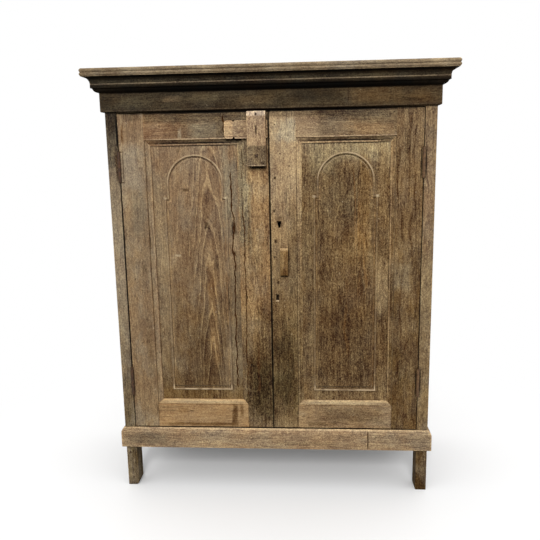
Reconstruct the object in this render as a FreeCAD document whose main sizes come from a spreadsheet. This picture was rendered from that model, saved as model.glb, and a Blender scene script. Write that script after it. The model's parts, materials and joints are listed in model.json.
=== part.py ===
import FreeCAD, Part
import math
import os
from types import SimpleNamespace

import Sketcher

# A two-door panelled storage cabinet. Its front faces -Y, its left side is -X, and its feet stand
# on z = 0 under the middle of its box. Pieces of the left side are modelled, and the right side's
# twins are their mirror images.

# Driving dimensions, in millimetres.
SIZES = {
    # whole cabinet
    "body_width": 1100,
    "body_depth": 450,
    "overall_height": 1494,
    # top board
    "top_thickness": 25,
    "top_projection": 58,
    "reed_depth": 3,
    "reed_edge": 1.5,
    # posts and feet
    "post_width": 38,
    "front_post_depth": 62,
    "rear_post_depth": 45,
    "foot_height": 158,
    "foot_round": 12,
    # rails of the carcass
    "top_rail_height": 114,
    "bottom_rail_height": 74,
    "front_rail_thickness": 40,
    "rear_rail_thickness": 24,
    "side_rail_thickness": 24,
    "side_mid_rail_height": 80,
    "side_mid_rail_bottom": 760,
    "rail_tenon_length": 18,
    "side_tenon_length": 24,
    "tenon_thickness": 10,
    "tenon_shoulder": 12,
    "joint_clearance": 0.1,
    # pegs through the tenons
    "peg_radius": 4,
    "peg_cover": 6,
    "peg_clearance": 0.05,
    # side panels, back, floor and shelves
    "side_panel_thickness": 10,
    "panel_let_in": 8,
    "panel_clearance": 0.3,
    "back_board_thickness": 12,
    "board_gap": 1.5,
    "board_clearance": 0.5,
    "floor_thickness": 16,
    "shelf_thickness": 16,
    "lower_shelf_height": 600,
    "upper_shelf_height": 970,
    "shelf_clearance": 3,
    "cleat_thickness": 22,
    "cleat_height": 25,
    # frieze, cornice and base mouldings
    "frieze_height": 111,
    "frieze_thickness": 11.5,
    "frieze_round": 3,
    "bed_step": 3,
    "ovolo_radius": 13,
    "bed_drip": 5.5,
    "fillet_height": 13,
    "cavetto_radius": 22,
    "base_thickness": 13,
    "base_round_depth": 11,
    "base_round_height": 20,
    # doors
    "door_thickness": 25,
    "door_end_clearance": 3,
    "door_stop_gap": 2,
    "hinge_gap": 2.5,
    "meeting_gap": 3,
    "hinge_stile_width": 88,
    "meeting_stile_width": 88,
    "door_top_rail_height": 88,
    "door_bottom_rail_height": 86,
    "door_tenon_length": 60,
    "door_tenon_shoulder": 14,
    # moulding stuck on the inner edges of the door frames
    "sticking_width": 19,
    "sticking_depth": 8,
    "sticking_quirk": 4,
    "sticking_fillet": 4,
    # door panels, the bead raised on them and the bevelled groove inside it
    "door_panel_setback": 10,
    "door_panel_thickness": 8,
    "bead_width": 8,
    "bead_height": 5,
    "bead_round": 3.5,
    "bead_groove_width": 5,
    "bead_groove_depth": 3,
    "bead_groove_bevel": 2.5,
    "field_side_margin": 37.5,
    "field_bottom_margin": 35,
    "field_top_margin": 29,
    "arch_radius": 98,
    "shoulder_drop": 145,
    # butt hinges
    "hinge_length": 100,
    "upper_hinge_drop": 177,
    "lower_hinge_rise": 175,
    "hinge_proud": 3,
    "barrel_radius": 5,
    "pin_radius": 2.4,
    "pin_clearance": 0.05,
    "pin_head_radius": 4,
    "pin_head_height": 2,
    "knuckle_gap": 0.3,
    "leaf_width": 24,
    "leaf_thickness": 2.4,
    "recess_clearance": 0.5,
    # wood screws
    "screw_radius": 2,
    "screw_head_radius": 3.8,
    "screw_head_height": 1.8,
    "screw_length": 18,
    "screw_clearance": 0.05,
    # keeper and wooden bolt on the left door
    "keeper_width": 61,
    "keeper_height": 177,
    "keeper_depth": 30,
    "keeper_edge_inset": 7.5,
    "keeper_top_inset": 2,
    "keeper_bevel_height": 16,
    "keeper_bevel_depth": 5,
    "bolt_length": 143,
    "bolt_height": 59,
    "bolt_thickness": 14,
    "bolt_drop": 57,
    "bolt_travel": 18,
    "bolt_tip_inset": 2,
    "bolt_head_length": 29,
    "bolt_waist_width": 13,
    "bolt_waist_depth": 6,
    "bolt_head_round": 10,
    "bolt_tip_round": 5,
    "bolt_clearance": 0.4,
    # nails through the keeper
    "nail_radius": 1.8,
    "nail_head_radius": 3.6,
    "nail_head_height": 1,
    "nail_bite": 18,
    "upper_nail_drop": 10,
    "lower_nail_rise": 34,
    # pull and keyholes of the right door
    "pull_width": 27,
    "pull_height": 94,
    "pull_depth": 22,
    "pull_chamfer": 5,
    "pull_inset": 31,
    "pull_middle_height": 847,
    "keyhole_width": 9,
    "keyhole_height": 19,
    "keyhole_inset": 20,
    "old_keyhole_width": 16,
    "old_keyhole_foot": 5,
    "old_keyhole_height": 23,
    "old_keyhole_inset": 29,
    "old_keyhole_middle": 975,
    # rim lock behind the lower keyhole, and its strike
    "lock_middle_height": 727,
    "keyhole_drop": 6,
    "lock_case_width": 76,
    "lock_case_height": 64,
    "lock_case_depth": 15,
    "lock_wall": 2,
    "lock_edge_inset": 1.5,
    "lock_boss_radius": 4.5,
    "lock_bolt_length": 50,
    "lock_bolt_height": 14,
    "lock_bolt_thickness": 6,
    "lock_bolt_stop": 3,
    "lock_bolt_rise": 12,
    "lock_throw": 12,
    "lock_clearance": 0.4,
    "strike_width": 24,
    "strike_height": 40,
    # how far a cutter runs past the piece that it cuts
    "overrun": 2,
}

BACK_BOARD_COUNT = 5
FLOOR_BOARD_COUNT = 3
KNUCKLE_COUNT = 5
HINGE_SCREW_SHARES = (-0.35, 0.0, 0.35)
LEAF_SCREW_SHARE = 0.6
LOCK_SCREW_SHARES = (-0.5, 0.5)
PULL_SCREW_SHARES = (-0.3, 0.3)
STRIKE_SCREW_SHARES = (-0.36, 0.36)


class Size:
    """A length with its present value and the spreadsheet expression that it comes from."""

    def __init__(self, value, text):
        self.value = value
        self.text = text

    def join(self, sign, other, value):
        text = other.text if isinstance(other, Size) else repr(other)
        return Size(value, f"({self.text} {sign} {text})")

    def __add__(self, other):
        return self.join("+", other, self.value + plain(other))

    def __sub__(self, other):
        return self.join("-", other, self.value - plain(other))

    def __mul__(self, other):
        return self.join("*", other, self.value * plain(other))

    def __truediv__(self, other):
        return self.join("/", other, self.value / plain(other))

    def __neg__(self):
        return Size(-self.value, f"(0 - {self.text})")


def plain(size):
    return size.value if isinstance(size, Size) else size


ZERO = Size(0.0, "0")

doc = FreeCAD.newDocument("StorageCabinet")
sheet = doc.addObject("Spreadsheet::Sheet", "Sizes")
for row, (alias, value) in enumerate(SIZES.items(), start=1):
    sheet.set(f"A{row}", alias)
    sheet.set(f"B{row}", str(value))
    sheet.setAlias(f"B{row}", alias)
doc.recompute()
s = SimpleNamespace(**{alias: Size(float(value), f"Sizes.{alias}") for alias, value in SIZES.items()})

pieces = {}


def piece(label, shape):
    """Names a finished sub-part."""
    shape.Label = label
    pieces[label] = shape
    return shape


# Shapes

TURNS = {
    "+x": FreeCAD.Rotation(FreeCAD.Vector(0, 1, 0), 90),
    "-x": FreeCAD.Rotation(FreeCAD.Vector(0, 1, 0), -90),
    "+y": FreeCAD.Rotation(FreeCAD.Vector(1, 0, 0), -90),
    "-y": FreeCAD.Rotation(FreeCAD.Vector(1, 0, 0), 90),
    "+z": FreeCAD.Rotation(),
}


def place(shape, x, y, z, direction="+z"):
    shape.Placement = FreeCAD.Placement(FreeCAD.Vector(), TURNS[direction])
    for axis, size in zip("xyz", (x, y, z)):
        shape.setExpression(f"Placement.Base.{axis}", size.text)
    return shape


def box(name, x, y, z):
    """A block between the low and high values of each axis."""
    block = doc.addObject("Part::Box", name)
    for side, (low, high) in zip(("Length", "Width", "Height"), (x, y, z)):
        block.setExpression(side, (high - low).text)
    return place(block, x[0], y[0], z[0])


def cylinder(name, radius, length, start, direction):
    rod = doc.addObject("Part::Cylinder", name)
    rod.setExpression("Radius", radius.text)
    rod.setExpression("Height", length.text)
    return place(rod, *start, direction)


def cone(name, first_radius, second_radius, length, start, direction):
    taper = doc.addObject("Part::Cone", name)
    taper.setExpression("Radius1", first_radius.text)
    taper.setExpression("Radius2", second_radius.text)
    taper.setExpression("Height", length.text)
    return place(taper, *start, direction)


def fuse(name, *shapes):
    joined = doc.addObject("Part::MultiFuse", name)
    joined.Shapes = list(shapes)
    return joined


def cut(name, base, *tools):
    carved = doc.addObject("Part::Cut", name)
    carved.Base = base
    carved.Tool = tools[0] if len(tools) == 1 else fuse(f"{name}_cutters", *tools)
    return carved


def group(name, shapes):
    """Separate solids of one kind that share a node."""
    together = doc.addObject("Part::Compound", name)
    together.Links = list(shapes)
    return together


def mirror(name, source):
    """The right-hand twin of a left-hand piece."""
    twin = doc.addObject("Part::Mirroring", name)
    twin.Source = source
    twin.Normal = FreeCAD.Vector(1, 0, 0)
    return twin


def grown(span, margin):
    return (span[0] - margin, span[1] + margin)


def around(middle, breadth):
    return (middle - breadth / 2, middle + breadth / 2)


def arc_radius(run, rise):
    """Radius of an arc that leaves along its run and ends a rise away from it."""
    return (run * run + rise * rise) / (rise * 2)


def arc_edge(start, end, radius, turn):
    """A circle's arc from start to end, under a half circle, turning left (1) or right (-1)."""
    chord = end - start
    half = chord.Length / 2
    left = FreeCAD.Vector(-chord.y, chord.x, 0).normalize()
    centre = (start + end) / 2 + left * turn * math.sqrt(radius * radius - half * half)
    first, last = (start, end) if turn > 0 else (end, start)
    angles = [math.atan2(point.y - centre.y, point.x - centre.x) for point in (first, last)]
    return Part.ArcOfCircle(Part.Circle(centre, FreeCAD.Vector(0, 0, 1), radius), *angles)


def draw(sketch, outline):
    """Draws a closed outline. A point is (u, v), reached by a line, or (u, v, radius, turn), by an arc."""
    offset = sketch.GeometryCount
    count = len(outline)
    corners = [FreeCAD.Vector(point[0].value, point[1].value, 0) for point in outline]
    ends = []
    for index, point in enumerate(outline):
        start, end = corners[index - 1], corners[index]
        if len(point) == 2:
            sketch.addGeometry(Part.LineSegment(start, end))
            ends.append((1, 2))
        else:
            sketch.addGeometry(arc_edge(start, end, point[2].value, point[3]))
            ends.append((1, 2) if point[3] > 0 else (2, 1))
    for index, point in enumerate(outline):
        edge, follower = offset + index, offset + (index + 1) % count
        last, first = ends[index][1], ends[(index + 1) % count][0]
        sketch.addConstraint(Sketcher.Constraint("Coincident", edge, last, follower, first))
        for kind, size in zip(("DistanceX", "DistanceY"), point[:2]):
            row = sketch.addConstraint(Sketcher.Constraint(kind, -1, 1, edge, last, size.value))
            sketch.setExpression(f"Constraints[{row}]", size.text)
        if len(point) == 4:
            row = sketch.addConstraint(Sketcher.Constraint("Radius", edge, point[2].value))
            sketch.setExpression(f"Constraints[{row}]", point[2].text)


def new_sketch(body, plane, *outlines):
    sketch = body.newObject("Sketcher::SketchObject", f"{body.Name}_outline")
    support = [feature for feature in body.Origin.OriginFeatures if feature.Role == f"{plane}_Plane"]
    sketch.AttachmentSupport = [(support[0], "")]
    sketch.MapMode = "FlatFace"
    for outline in outlines:
        draw(sketch, outline)
    return sketch


def new_pad(body, sketch, length, reverse):
    pad = body.newObject("PartDesign::Pad", f"{body.Name}_pad")
    pad.Profile = sketch
    pad.Reversed = reverse
    pad.setExpression("Length", length.text)
    return pad


def prism(name, plane, outline, low, high):
    """An outline in the XY, XZ or YZ plane, drawn out along the third axis from low to high."""
    body = doc.addObject("PartDesign::Body", name)
    new_pad(body, new_sketch(body, plane, outline), high - low, plane == "XZ")
    shift = {"XY": (ZERO, ZERO, low), "XZ": (ZERO, low, ZERO), "YZ": (low, ZERO, ZERO)}
    return place(body, *shift[plane])


# Places that several pieces share

half_width = s.body_width / 2
front = -(s.body_depth - s.top_projection) / 2
rear = (s.body_depth + s.top_projection) / 2
post_inner = half_width - s.post_width
front_post_back = front + s.front_post_depth
rear_post_front = rear - s.rear_post_depth
back_front = rear - s.back_board_thickness
top_under = s.overall_height - s.top_thickness
bottom_rail_top = s.foot_height + s.bottom_rail_height
top_rail_bottom = top_under - s.top_rail_height
side_mid_rail_top = s.side_mid_rail_bottom + s.side_mid_rail_height
side_middle = -half_width + s.side_rail_thickness / 2
door_back = front + s.door_thickness
stop_line = door_back + s.door_stop_gap

# Left door: hinge edge, sight lines of its frame, ends
door_hinge_edge = -post_inner + s.hinge_gap
door_meeting_edge = -s.meeting_gap / 2
flat_left = door_hinge_edge + s.hinge_stile_width
flat_right = door_meeting_edge - s.meeting_stile_width
sight_left = flat_left + s.sticking_width
sight_right = flat_right - s.sticking_width
door_bottom = bottom_rail_top + s.door_end_clearance
door_top = top_rail_bottom - s.door_end_clearance
flat_bottom = door_bottom + s.door_bottom_rail_height
flat_top = door_top - s.door_top_rail_height
sight_bottom = flat_bottom + s.sticking_width
sight_top = flat_top - s.sticking_width
panel_front = front + s.door_panel_setback
panel_back = panel_front + s.door_panel_thickness

# Axis of the left hinges
axis_x = -post_inner + s.hinge_gap / 2
axis_y = front - s.hinge_proud


# Fasteners: each returns the solid and the hole that it sits in

def screw(name, start, direction):
    """A countersunk wood screw whose head is flush at its start."""
    solids = []
    for suffix, spare in (("", ZERO), ("_hole", s.screw_clearance)):
        head = cone(f"{name}_head{suffix}", s.screw_head_radius + spare, s.screw_radius + spare,
                    s.screw_head_height, start, direction)
        shank = cylinder(f"{name}_shank{suffix}", s.screw_radius + spare, s.screw_length + spare,
                         start, direction)
        solids.append(fuse(f"{name}{suffix}", head, shank))
    return solids


def peg(name, x, y, z):
    """A round wooden peg along Y between the two values of y."""
    rod = cylinder(name, s.peg_radius - s.peg_clearance, y[1] - y[0], (x, y[0], z), "+y")
    hole = cylinder(f"{name}_hole", s.peg_radius, y[1] - y[0], (x, y[0], z), "+y")
    return rod, hole


def nail(name, x, z):
    """A round-headed nail through the front of the keeper into the left door."""
    start = (x, front - s.keeper_depth - s.nail_head_height, z)
    length = s.keeper_depth + s.nail_bite
    head = cylinder(f"{name}_head", s.nail_head_radius, s.nail_head_height, start, "+y")
    shank = cylinder(f"{name}_shank", s.nail_radius - s.peg_clearance, length, start, "+y")
    hole = cylinder(f"{name}_hole", s.nail_radius, length, start, "+y")
    return fuse(name, head, shank), hole


# Carcass rails: each returns the rail, the spaces that its tenons take in the left posts, and its pegs

def cross_rail(label, y, z, peg_span):
    """A rail across the front or the back, with a pegged tenon in the post at each end."""
    tenon_y = around((y[0] + y[1]) / 2, s.tenon_thickness)
    tenon_z = grown(z, -s.tenon_shoulder)
    tenon_x = (-post_inner - s.rail_tenon_length, -post_inner)
    blank = box(f"{label}_blank", (-post_inner, post_inner), y, z)
    tenon = box(f"{label}_tenon", tenon_x, tenon_y, tenon_z)
    mortise = box(f"{label}_mortise", (tenon_x[0] - s.joint_clearance, -post_inner + s.overrun),
                  grown(tenon_y, s.joint_clearance), grown(tenon_z, s.joint_clearance))
    rod, hole = peg(f"{label}_peg", -post_inner - s.rail_tenon_length / 2, peg_span, (z[0] + z[1]) / 2)
    whole = fuse(f"{label}_whole", blank, tenon, mirror(f"{label}_far_tenon", tenon))
    piece(label, cut(label, whole, hole, mirror(f"{label}_far_hole", hole)))
    return [mortise, hole], [rod, mirror(f"{label}_far_peg", rod)]


def side_rail(name, z):
    """A rail of the left side, with a tenon in each of the two posts."""
    x = (-half_width, -half_width + s.side_rail_thickness)
    tenon_x = around(side_middle, s.tenon_thickness)
    tenon_y = (front_post_back - s.side_tenon_length, rear_post_front + s.side_tenon_length)
    tenon_z = grown(z, -s.tenon_shoulder)
    blank = box(f"{name}_blank", x, (front_post_back, rear_post_front), z)
    tenons = box(f"{name}_tenons", tenon_x, tenon_y, tenon_z)
    space = box(f"{name}_mortises", grown(tenon_x, s.joint_clearance), grown(tenon_y, s.joint_clearance),
                grown(tenon_z, s.joint_clearance))
    return fuse(f"{name}_whole", blank, tenons), space


front_span = (front, front + s.front_rail_thickness)
rear_span = (back_front - s.rear_rail_thickness, back_front)
front_peg_span = (front + s.peg_cover, front_post_back)
rear_peg_span = (rear_post_front, rear - s.peg_cover)
top_rail_span = (top_rail_bottom, top_under)
bottom_rail_span = (s.foot_height, bottom_rail_top)
mid_rail_span = (s.side_mid_rail_bottom, side_mid_rail_top)

front_cuts, carcass_pegs = [], []
rear_cuts = []
for label, y, z, peg_span, cuts in (
    ("front_top_rail", front_span, top_rail_span, front_peg_span, front_cuts),
    ("front_bottom_rail", front_span, bottom_rail_span, front_peg_span, front_cuts),
    ("rear_top_rail", rear_span, top_rail_span, rear_peg_span, rear_cuts),
    ("rear_bottom_rail", rear_span, bottom_rail_span, rear_peg_span, rear_cuts),
):
    spaces, rods = cross_rail(label, y, z, peg_span)
    cuts.extend(spaces)
    carcass_pegs.extend(rods)
piece("carcass_pegs", group("carcass_pegs", carcass_pegs))

# Side panels, loose in the grooves of the posts and the side rails

panel_x = around(side_middle, s.side_panel_thickness)
panel_y = (front_post_back - s.panel_let_in, rear_post_front + s.panel_let_in)
side_panels, side_panel_spaces = [], []
for name, opening in (
    ("side_panel_lower", (bottom_rail_top, s.side_mid_rail_bottom)),
    ("side_panel_upper", (side_mid_rail_top, top_rail_bottom)),
):
    panel_z = grown(opening, s.panel_let_in)
    side_panels.append(box(name, panel_x, panel_y, panel_z))
    side_panel_spaces.append(box(f"{name}_space", grown(panel_x, s.panel_clearance),
                                 grown(panel_y, s.panel_clearance), grown(panel_z, s.panel_clearance)))
left_side_panels = piece("left_side_panels", group("left_side_panels", side_panels))
piece("right_side_panels", mirror("right_side_panels", left_side_panels))

side_cuts = list(side_panel_spaces)
for name, z in (("top", top_rail_span), ("mid", mid_rail_span), ("bottom", bottom_rail_span)):
    whole, space = side_rail(f"side_{name}_rail", z)
    rail = piece(f"left_side_{name}_rail", cut(f"left_side_{name}_rail", whole, *side_panel_spaces))
    piece(f"right_side_{name}_rail", mirror(f"right_side_{name}_rail", rail))
    side_cuts.append(space)

# Hinges of the left door

def knuckle_span(bottom, index):
    length = (s.hinge_length - s.knuckle_gap * (KNUCKLE_COUNT - 1)) / KNUCKLE_COUNT
    start = bottom + (length + s.knuckle_gap) * index
    return (start, start + length)


def hinge_leaf(name, x, indexes, bottom, holes):
    """A leaf let into the wood, with its share of the knuckles round the pin."""
    barrel_back = axis_y + s.barrel_radius + s.knuckle_gap
    solids = [box(f"{name}_plate", x, (barrel_back, front + s.leaf_width), (bottom, bottom + s.hinge_length))]
    for index in indexes:
        z = knuckle_span(bottom, index)
        start = (axis_x, axis_y, z[0])
        solids.append(box(f"{name}_neck_{index}", x, (axis_y, barrel_back), z))
        solids.append(cylinder(f"{name}_knuckle_{index}", s.barrel_radius, z[1] - z[0], start, "+z"))
    bore_start = (axis_x, axis_y, bottom)
    bore = cylinder(f"{name}_bore", s.pin_radius + s.pin_clearance, s.hinge_length, bore_start, "+z")
    return cut(name, fuse(f"{name}_whole", *solids), bore, *holes)


def leaf_screws(name, x, middle, direction):
    screws, holes = [], []
    for index, share in enumerate(HINGE_SCREW_SHARES):
        start = (x, front + s.leaf_width * LEAF_SCREW_SHARE, middle + s.hinge_length * share)
        solid, hole = screw(f"{name}_screw_{index}", start, direction)
        screws.append(solid)
        holes.append(hole)
    return screws, holes


post_leaves, door_leaves, hinge_pins, post_screws, door_hinge_screws = [], [], [], [], []
post_hinge_cuts, stile_hinge_cuts = [], []
post_leaf_x = (-post_inner - s.leaf_thickness, -post_inner)
door_leaf_x = (door_hinge_edge, door_hinge_edge + s.leaf_thickness)
hinge_middles = {
    "upper_hinge": door_top - s.upper_hinge_drop,
    "lower_hinge": door_bottom + s.lower_hinge_rise,
}
for name, middle in hinge_middles.items():
    bottom = middle - s.hinge_length / 2
    screws, holes = leaf_screws(f"{name}_post", -post_inner, middle, "-x")
    even, odd = range(0, KNUCKLE_COUNT, 2), range(1, KNUCKLE_COUNT, 2)
    post_leaves.append(hinge_leaf(f"{name}_post_leaf", post_leaf_x, even, bottom, holes))
    post_screws.extend(screws)
    post_hinge_cuts.extend(holes)
    screws, holes = leaf_screws(f"{name}_door", door_hinge_edge, middle, "+x")
    door_leaves.append(hinge_leaf(f"{name}_door_leaf", door_leaf_x, odd, bottom, holes))
    door_hinge_screws.extend(screws)
    stile_hinge_cuts.extend(holes)
    pin = cylinder(f"{name}_pin_rod", s.pin_radius, s.hinge_length, (axis_x, axis_y, bottom), "+z")
    head_start = (axis_x, axis_y, bottom + s.hinge_length)
    head = cylinder(f"{name}_pin_head", s.pin_head_radius, s.pin_head_height, head_start, "+z")
    hinge_pins.append(fuse(f"{name}_pin", pin, head))
    # recesses for the leaves and for the barrel in the two arrises beside it
    recess_y = (front - s.overrun, front + s.leaf_width + s.recess_clearance)
    recess_z = grown((bottom, bottom + s.hinge_length + s.pin_head_height), s.recess_clearance)
    barrel = cylinder(f"{name}_barrel_space", s.barrel_radius + s.recess_clearance, recess_z[1] - recess_z[0],
                      (axis_x, axis_y, recess_z[0]), "+z")
    post_hinge_cuts.append(barrel)
    stile_hinge_cuts.append(barrel)
    leaf_z = grown((bottom, bottom + s.hinge_length), s.joint_clearance)
    post_recess_x = (post_leaf_x[0] - s.joint_clearance, -post_inner + s.overrun)
    stile_recess_x = (door_hinge_edge - s.overrun, door_leaf_x[1] + s.joint_clearance)
    post_hinge_cuts.append(box(f"{name}_post_recess", post_recess_x, recess_y, leaf_z))
    stile_hinge_cuts.append(box(f"{name}_stile_recess", stile_recess_x, recess_y, leaf_z))

left_post_leaves = piece("left_hinge_post_leaves", group("left_hinge_post_leaves", post_leaves))
piece("right_hinge_post_leaves", mirror("right_hinge_post_leaves", left_post_leaves))
left_door_leaves = piece("left_hinge_door_leaves", group("left_hinge_door_leaves", door_leaves))
piece("right_hinge_door_leaves", mirror("right_hinge_door_leaves", left_door_leaves))
twins = [mirror(f"right_{pin.Name}", pin) for pin in hinge_pins]
piece("hinge_pins", group("hinge_pins", hinge_pins + twins))
twins = [mirror(f"right_{solid.Name}", solid) for solid in post_screws]
piece("post_hinge_screws", group("post_hinge_screws", post_screws + twins))

# Posts, whose lower ends are the feet

post_x = (-half_width, -post_inner)
front_blank = box("front_post_blank", post_x, (front, front_post_back), (ZERO, top_under))
worked_front = cut("front_post_worked", front_blank, *front_cuts, *side_cuts, *post_hinge_cuts)
round_x = (-post_inner - s.foot_round, -post_inner)
foot_corner = cut(
    "foot_corner",
    box("foot_corner_block", (round_x[0], round_x[1] + s.overrun), grown((front, front_post_back), s.overrun),
        (-s.overrun, s.foot_round)),
    cylinder("foot_corner_rod", s.foot_round, s.front_post_depth + s.overrun * 2,
             (round_x[0], front - s.overrun, s.foot_round), "+y"))
piece("front_post_left", cut("front_post_left", worked_front, foot_corner))
piece("front_post_right", mirror("front_post_right", worked_front))
rear_blank = box("rear_post_blank", post_x, (rear_post_front, rear), (ZERO, top_under))
left_rear_post = piece("rear_post_left", cut("rear_post_left", rear_blank, *rear_cuts, *side_cuts))
piece("rear_post_right", mirror("rear_post_right", left_rear_post))

# Back boards, upright between the rear posts and nailed to the rear rails

board_width = (post_inner * 2 - s.board_gap * (BACK_BOARD_COUNT + 1)) / BACK_BOARD_COUNT
back_boards = []
for index in range(BACK_BOARD_COUNT):
    board_left = -post_inner + s.board_gap + (board_width + s.board_gap) * index
    back_boards.append(box(f"back_board_{index}", (board_left, board_left + board_width), (back_front, rear),
                           (s.foot_height, top_under)))
piece("back_boards", group("back_boards", back_boards))

# Floor and shelves, notched round the posts

def notched_board(name, y, z):
    reach = half_width - s.side_rail_thickness - s.board_clearance
    x_notch = (-reach - s.overrun, -post_inner + s.board_clearance)
    z_notch = grown(z, s.overrun)
    blank = box(f"{name}_blank", (-reach, reach), y, z)
    notches = [
        box(f"{name}_front_notch", x_notch, (y[0] - s.overrun, front_post_back + s.board_clearance), z_notch),
        box(f"{name}_rear_notch", x_notch, (rear_post_front - s.board_clearance, rear), z_notch),
    ]
    twins = [mirror(f"{notch.Name}_twin", notch) for notch in notches]
    return blank, notches + twins


floor_y = (stop_line, back_front)
floor_z = (bottom_rail_top, bottom_rail_top + s.floor_thickness)
floor_blank, floor_cuts = notched_board("floor", floor_y, floor_z)
floor_pitch = (floor_y[1] - floor_y[0]) / FLOOR_BOARD_COUNT
for index in range(1, FLOOR_BOARD_COUNT):
    gap_y = around(floor_y[0] + floor_pitch * index, s.board_gap)
    floor_cuts.append(box(f"floor_gap_{index}", (-half_width, half_width), gap_y, grown(floor_z, s.overrun)))
piece("floor_boards", cut("floor_boards", floor_blank, *floor_cuts))

# the shelves stop short of the lock behind the doors
shelf_y = (door_back + s.lock_case_depth + s.shelf_clearance, back_front - s.board_clearance)
cleats = []
for label, height in (("lower_shelf", s.lower_shelf_height), ("upper_shelf", s.upper_shelf_height)):
    shelf_blank, shelf_cuts = notched_board(label, shelf_y, (height, height + s.shelf_thickness))
    piece(label, cut(label, shelf_blank, *shelf_cuts))
    cleat = box(f"{label}_cleat", (-post_inner, -post_inner + s.cleat_thickness), shelf_y,
                (height - s.cleat_height, height))
    cleats.extend((cleat, mirror(f"{label}_far_cleat", cleat)))
piece("shelf_cleats", group("shelf_cleats", cleats))

# Top board: its front and side edges carry two reeds

reed_chord = (s.top_thickness - s.reed_edge * 2) / 2
reed_radius = arc_radius(reed_chord / 2, s.reed_depth)


def reeded_edge(outer, upward):
    """Points up or down a reeded edge that faces the sign of outer's direction."""
    way, position = outer
    groove = position - s.reed_depth * way
    heights = [ZERO, s.reed_edge, s.reed_edge + reed_chord, s.top_thickness - s.reed_edge, s.top_thickness]
    if not upward:
        heights.reverse()
    turn = way if upward else -way
    points = []
    for index, height in enumerate(heights):
        curved = index in (2, 3)
        level = top_under + height
        points.append((groove, level, reed_radius, turn) if curved else (groove, level))
    return points


top_front = front - s.top_projection
top_side = half_width + s.top_projection
front_profile = reeded_edge((-1, top_front), False) + [(rear, top_under), (rear, s.overall_height)]
side_profile = reeded_edge((1, top_side), True) + reeded_edge((-1, -top_side), False)
top_long = prism("top_long", "YZ", front_profile, -top_side, top_side)
top_cross = prism("top_cross", "XZ", side_profile, top_front, rear)
top_board = doc.addObject("Part::Common", "top_board")
top_board.Base = top_long
top_board.Tool = top_cross
piece("top_board", top_board)

# Mouldings round the front and the sides, mitred at the front corners.
# A profile is a list of (projection, height) points, with an arc's radius and turn where it is round.

def run_moulding(name, profile, reach):
    """Makes the front length and the two side returns of a moulding that projects by reach."""
    forward = [(front - point[0], *point[1:]) for point in profile]
    sideways = [(-half_width - point[0], *point[1:]) for point in profile]
    far = reach + s.overrun
    low, high = profile[0][1] - s.overrun, top_under + s.overrun
    front_blank = prism(f"{name}_front_blank", "YZ", forward, -half_width - reach, half_width + reach)
    side_blank = prism(f"{name}_side_blank", "XZ", sideways, front - reach, rear)
    beside = [(-half_width, front), (-half_width - far, front - far), (-half_width - far, front)]
    before = [(-half_width, front), (-half_width, front - far), (-half_width - far, front - far)]
    front_mitre = prism(f"{name}_front_mitre", "XY", beside, low, high)
    far_mitre = mirror(f"{name}_far_mitre", front_mitre)
    side_mitre = prism(f"{name}_side_mitre", "XY", before, low, high)
    piece(f"{name}_front", cut(f"{name}_front", front_blank, front_mitre, far_mitre))
    left = piece(f"{name}_left", cut(f"{name}_left", side_blank, side_mitre))
    piece(f"{name}_right", mirror(f"{name}_right", left))


frieze_bottom = top_under - s.frieze_height
frieze_profile = [
    (ZERO, frieze_bottom),
    (s.frieze_thickness - s.frieze_round, frieze_bottom),
    (s.frieze_thickness, frieze_bottom + s.frieze_round, s.frieze_round, -1),
    (s.frieze_thickness, top_under),
    (ZERO, top_under),
]
run_moulding("frieze", frieze_profile, s.frieze_thickness)

cornice_bottom = top_under - s.cavetto_radius - s.fillet_height - s.ovolo_radius
ovolo_start = s.frieze_thickness + s.bed_step
fillet_face = ovolo_start + s.ovolo_radius + s.bed_drip
cornice_reach = fillet_face + s.cavetto_radius
cornice_profile = [
    (s.frieze_thickness, cornice_bottom),
    (ovolo_start, cornice_bottom),
    (ovolo_start + s.ovolo_radius, cornice_bottom + s.ovolo_radius, s.ovolo_radius, -1),
    (fillet_face, cornice_bottom + s.ovolo_radius),
    (fillet_face, cornice_bottom + s.ovolo_radius + s.fillet_height),
    (cornice_reach, top_under, s.cavetto_radius, 1),
    (s.frieze_thickness, top_under),
]
run_moulding("cornice_moulding", cornice_profile, cornice_reach)

base_round_radius = arc_radius(s.base_round_height, s.base_round_depth)
base_profile = [
    (ZERO, s.foot_height),
    (s.base_thickness, s.foot_height),
    (s.base_thickness, bottom_rail_top - s.base_round_height),
    (s.base_thickness - s.base_round_depth, bottom_rail_top, base_round_radius, -1),
    (ZERO, bottom_rail_top),
]
run_moulding("base_moulding", base_profile, s.base_thickness)

# Frame of the left door

sticking_round = s.sticking_width - s.sticking_fillet
sticking_radius = arc_radius(sticking_round, s.sticking_depth - s.sticking_quirk)


def sticking(flat, way, turn):
    """Section of what the moulding plane takes off an inner edge: (along the face, into the face)."""
    fall = flat + sticking_round * way
    beyond = flat + (s.sticking_width + s.overrun) * way
    return [
        (flat, front - s.overrun),
        (flat, front + s.sticking_quirk),
        (fall, front + s.sticking_depth, sticking_radius, turn),
        (beyond, front + s.sticking_depth),
        (beyond, front - s.overrun),
    ]


def upright(points):
    """Turns a section drawn in X and Y into one in Y and Z, for a rail."""
    return [(point[1], point[0], *point[2:]) for point in points]


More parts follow.
